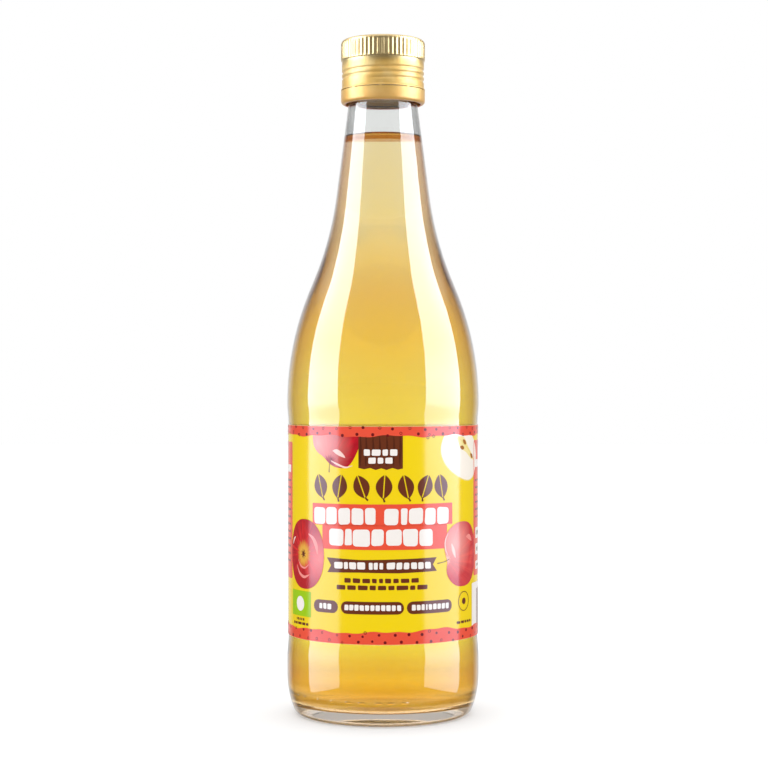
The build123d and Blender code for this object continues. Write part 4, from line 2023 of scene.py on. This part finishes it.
@dataclass(frozen=True)
class Softbox:
    """One tall light beside the bottle, dimmer towards its foot and leaning back at its top.

    Attributes:
        name: name of the light.
        side: 1 for the right, -1 for the left.
        turns: degrees from the camera's line to its two upright edges.
        levels: degrees of its lower and upper edge, seen from the bottle's middle.
        glows: radiance by level in degrees.
        cool: colour of its lower part.
        plain: colour of its upper part.
        change: levels over which the one turns into the other.
        lean: degrees that its top leans away from the camera.
        distance: from the bottle's axis in metres.
        eye: height in metres that the levels are seen from.
    """

    name: str
    side: float
    turns: tuple[float, float]
    levels: tuple[float, float] = (-24.0, 58.0)
    glows: tuple[Point, ...] = (
        (-24.0, 1.9), (-9.0, 3.4), (-1.0, 5.4), (8.0, 6.0), (20.0, 5.2), (29.0, 5.6), (58.0, 5.8)
    )
    cool: tuple[float, float, float] = (0.64, 0.76, 1.0)
    plain: tuple[float, float, float] = (0.92, 0.95, 1.0)
    change: Point = (10.0, 24.0)
    lean: float = 7.0
    distance: float = 0.6
    eye: float = 0.12

    def height(self, level: float) -> float:
        """Height above the floor at a level in degrees."""
        return self.distance * math.tan(math.radians(level)) + self.eye

    def build(self) -> None:
        """Hangs the light, square to the bottle."""
        turn = math.radians(sum(self.turns) / 2)
        low, high = map(self.height, self.levels)
        wide = 2 * self.distance * math.tan(math.radians(self.turns[1] - self.turns[0]) / 2)
        out = self.side * self.distance
        place = (out * math.sin(turn), -self.distance * math.cos(turn), (low + high) / 2)
        facing = Euler((math.pi / 2, 0.0, self.side * turn)).to_matrix()
        leant = facing @ Matrix.Rotation(-self.side * math.radians(self.lean), 3, "Z")
        bpy.ops.object.light_add(type="AREA", location=place, rotation=leant.to_euler())
        lamp = bpy.context.object
        lamp.name = lamp.data.name = self.name
        lamp.data.shape = "RECTANGLE"
        lamp.data.size, lamp.data.size_y = wide, high - low
        lamp.data.energy = math.pi * wide * (high - low)
        lamp.visible_camera = lamp.visible_transmission = lamp.visible_diffuse = False
        lamp.data.use_nodes = True
        graph = Graph(lamp.data.node_tree)
        up = graph.split(graph.add("ShaderNodeNewGeometry").outputs["Parametric"])[1]
        most = max(glow for _, glow in self.glows)
        stops = []
        for level, glow in self.glows:
            tint = Vector(self.cool).lerp(Vector(self.plain), smoothstep(*self.change, level))
            stops.append(((self.height(level) - low) / (high - low), (*(tint * glow / most), 1.0)))
        emission = lamp.data.node_tree.nodes["Emission"]
        graph.feed(emission.inputs["Color"], graph.ramp(up, stops))
        emission.inputs["Strength"].default_value = most


@dataclass
class Studio:
    """A white sweep with a soft wall of light behind and tall soft lights on either side.

    A Span here maps its first two values to its last two.

    Attributes:
        camera: place of the camera in metres.
        lens: its focal length in millimetres.
        sensor: width of its sensor in millimetres.
        lights: the soft lights.
        floor: size of the floor in metres.
        floor_grain: scale of the floor's flecks.
        floor_tone: their levels mapped to reflectance.
        floor_glow: light that the floor gives off.
        floor_seen: what is added where the camera sees it.
        floor_passed: the same for rays through the glass, by distance from the bottle.
        walls: light from behind by how many surfaces a ray has passed, the glass's own edges darkest.
        filled: what is added for rays that have passed the liquid too.
        side_gloss: light that glossy surfaces see, by how far to the side.
        back_gloss: the same by how far behind.
        sky_gloss: the same by height.
        sky_reach: from the camera's side to the far side, where that light sets in.
        zenith: heights between which the light straight above sets in.
        soft: light on matt surfaces from front to back.
    """

    camera: tuple[float, float, float] = (0.00038, -0.695, 0.12315)
    lens: float = 86.7
    sensor: float = 36.0
    lights: tuple[Softbox, ...] = (
        Softbox("tall_light_left", -1.0, (57.0, 102.0)),
        Softbox("tall_light_right", 1.0, (54.0, 106.0)),
    )
    floor: float = 6.0
    floor_grain: float = 14.0
    floor_tone: Span = (0.2, 0.8, 0.78, 0.82)
    floor_glow: float = 0.14
    floor_seen: float = 0.12
    floor_passed: Span = (0.15, 0.35, 1.26, 1.09)
    walls: Span = (2.5, 3.5, 0.56, 0.84)
    filled: Span = (4.5, 5.5, 0.0, 0.39)
    side_gloss: Span = (0.3, 0.9, 0.02, 0.12)
    back_gloss: Span = (0.66, 0.94, 0.0, 0.7)
    sky_gloss: Span = (0.3, 0.55, 0.0, 0.8)
    sky_reach: Point = (-0.25, 0.25)
    zenith: Point = (0.80, 0.94)
    soft: Span = (-0.2, 0.6, 1.12, 1.42)

    def build(self) -> None:
        """Sets up everything round the bottle."""
        self.lay_floor()
        self.light_world()
        for light in self.lights:
            light.build()
        bpy.ops.object.camera_add(location=self.camera, rotation=(math.pi / 2, 0.0, 0.0))
        camera = bpy.context.object
        camera.name = camera.data.name = "studio_camera"
        camera.data.lens = self.lens
        camera.data.sensor_width = self.sensor
        camera.data.clip_start = 0.01
        bpy.context.scene.camera = camera
        bpy.context.scene.view_settings.view_transform = "Standard"

    def lay_floor(self) -> None:
        """The white floor under the foot."""
        deselect()
        bpy.ops.mesh.primitive_plane_add(size=self.floor)
        floor = bpy.context.object
        floor.name = floor.data.name = "studio_floor"
        pick(floor, lambda place: True)
        bpy.ops.mesh.subdivide(number_cuts=7)
        take(floor)
        made, graph, shader = material("white_sweep")
        place = graph.place()
        rays = graph.add("ShaderNodeLightPath").outputs
        ground = graph.between(graph.noise(place, self.floor_grain, 3.0), *self.floor_tone)
        outside = graph.math("SUBTRACT", 1.0, rays["Is Transmission Ray"])
        graph.feed(shader.inputs["Base Color"], graph.grey(graph.math("MULTIPLY", ground, outside)))
        shader.inputs["Roughness"].default_value = 0.8
        shader.inputs["Specular IOR Level"].default_value = 0.1
        shader.inputs["Emission Color"].default_value = (1.0, 1.0, 1.0, 1.0)
        seen = graph.math("MULTIPLY", rays["Is Camera Ray"], self.floor_seen)
        near = graph.between(graph.length(place), *self.floor_passed)
        passed = graph.math("MULTIPLY", rays["Is Transmission Ray"], near)
        glow = graph.math("ADD", graph.math("ADD", seen, passed), self.floor_glow)
        graph.feed(shader.inputs["Emission Strength"], glow)
        floor.data.materials.append(made)
        floor.visible_glossy = False

    def light_world(self) -> None:
        """White behind the bottle, dark towards the camera, with soft falls at the sides of the glass."""
        world = bpy.data.worlds.new("white_studio")
        bpy.context.scene.world = world
        world.use_nodes = True
        graph = Graph(world.node_tree)
        x, y, z = graph.split(graph.add("ShaderNodeTexCoord").outputs["Generated"])
        rays = graph.add("ShaderNodeLightPath").outputs
        depth = rays["Transmission Depth"]
        through = graph.math("ADD", graph.between(depth, *self.walls), graph.between(depth, *self.filled))
        sky = graph.math("MULTIPLY", graph.between(z, *self.sky_gloss), graph.between(y, *self.sky_reach))
        glossy = graph.between(graph.math("ABSOLUTE", x), *self.side_gloss)
        for lit in (graph.between(y, *self.back_gloss), sky, graph.between(z, *self.zenith)):
            glossy = graph.math("MAXIMUM", glossy, lit)
        soft = graph.grey(graph.between(y, *self.soft))
        shone = graph.mix(rays["Is Diffuse Ray"], graph.grey(glossy), soft)
        passed = graph.mix(rays["Is Transmission Ray"], shone, graph.grey(through))
        seen = graph.mix(rays["Is Camera Ray"], passed, (1.0, 1.0, 1.0, 1.0))
        graph.feed(world.node_tree.nodes["Background"].inputs["Color"], seen)


def main() -> None:
    logging.basicConfig(level=logging.INFO, format="%(name)s: %(message)s")
    shared = Shared()
    blank = Blank()
    GlassBottle(blank).build(ClearGlass().build(shared))
    Contents(blank).build(CloudyVinegar().build(shared))
    ScrewCap().build(GoldAluminium().build(shared))
    PaperLabel(shared).build()
    Studio().build()


if __name__ == "__main__":
    main()
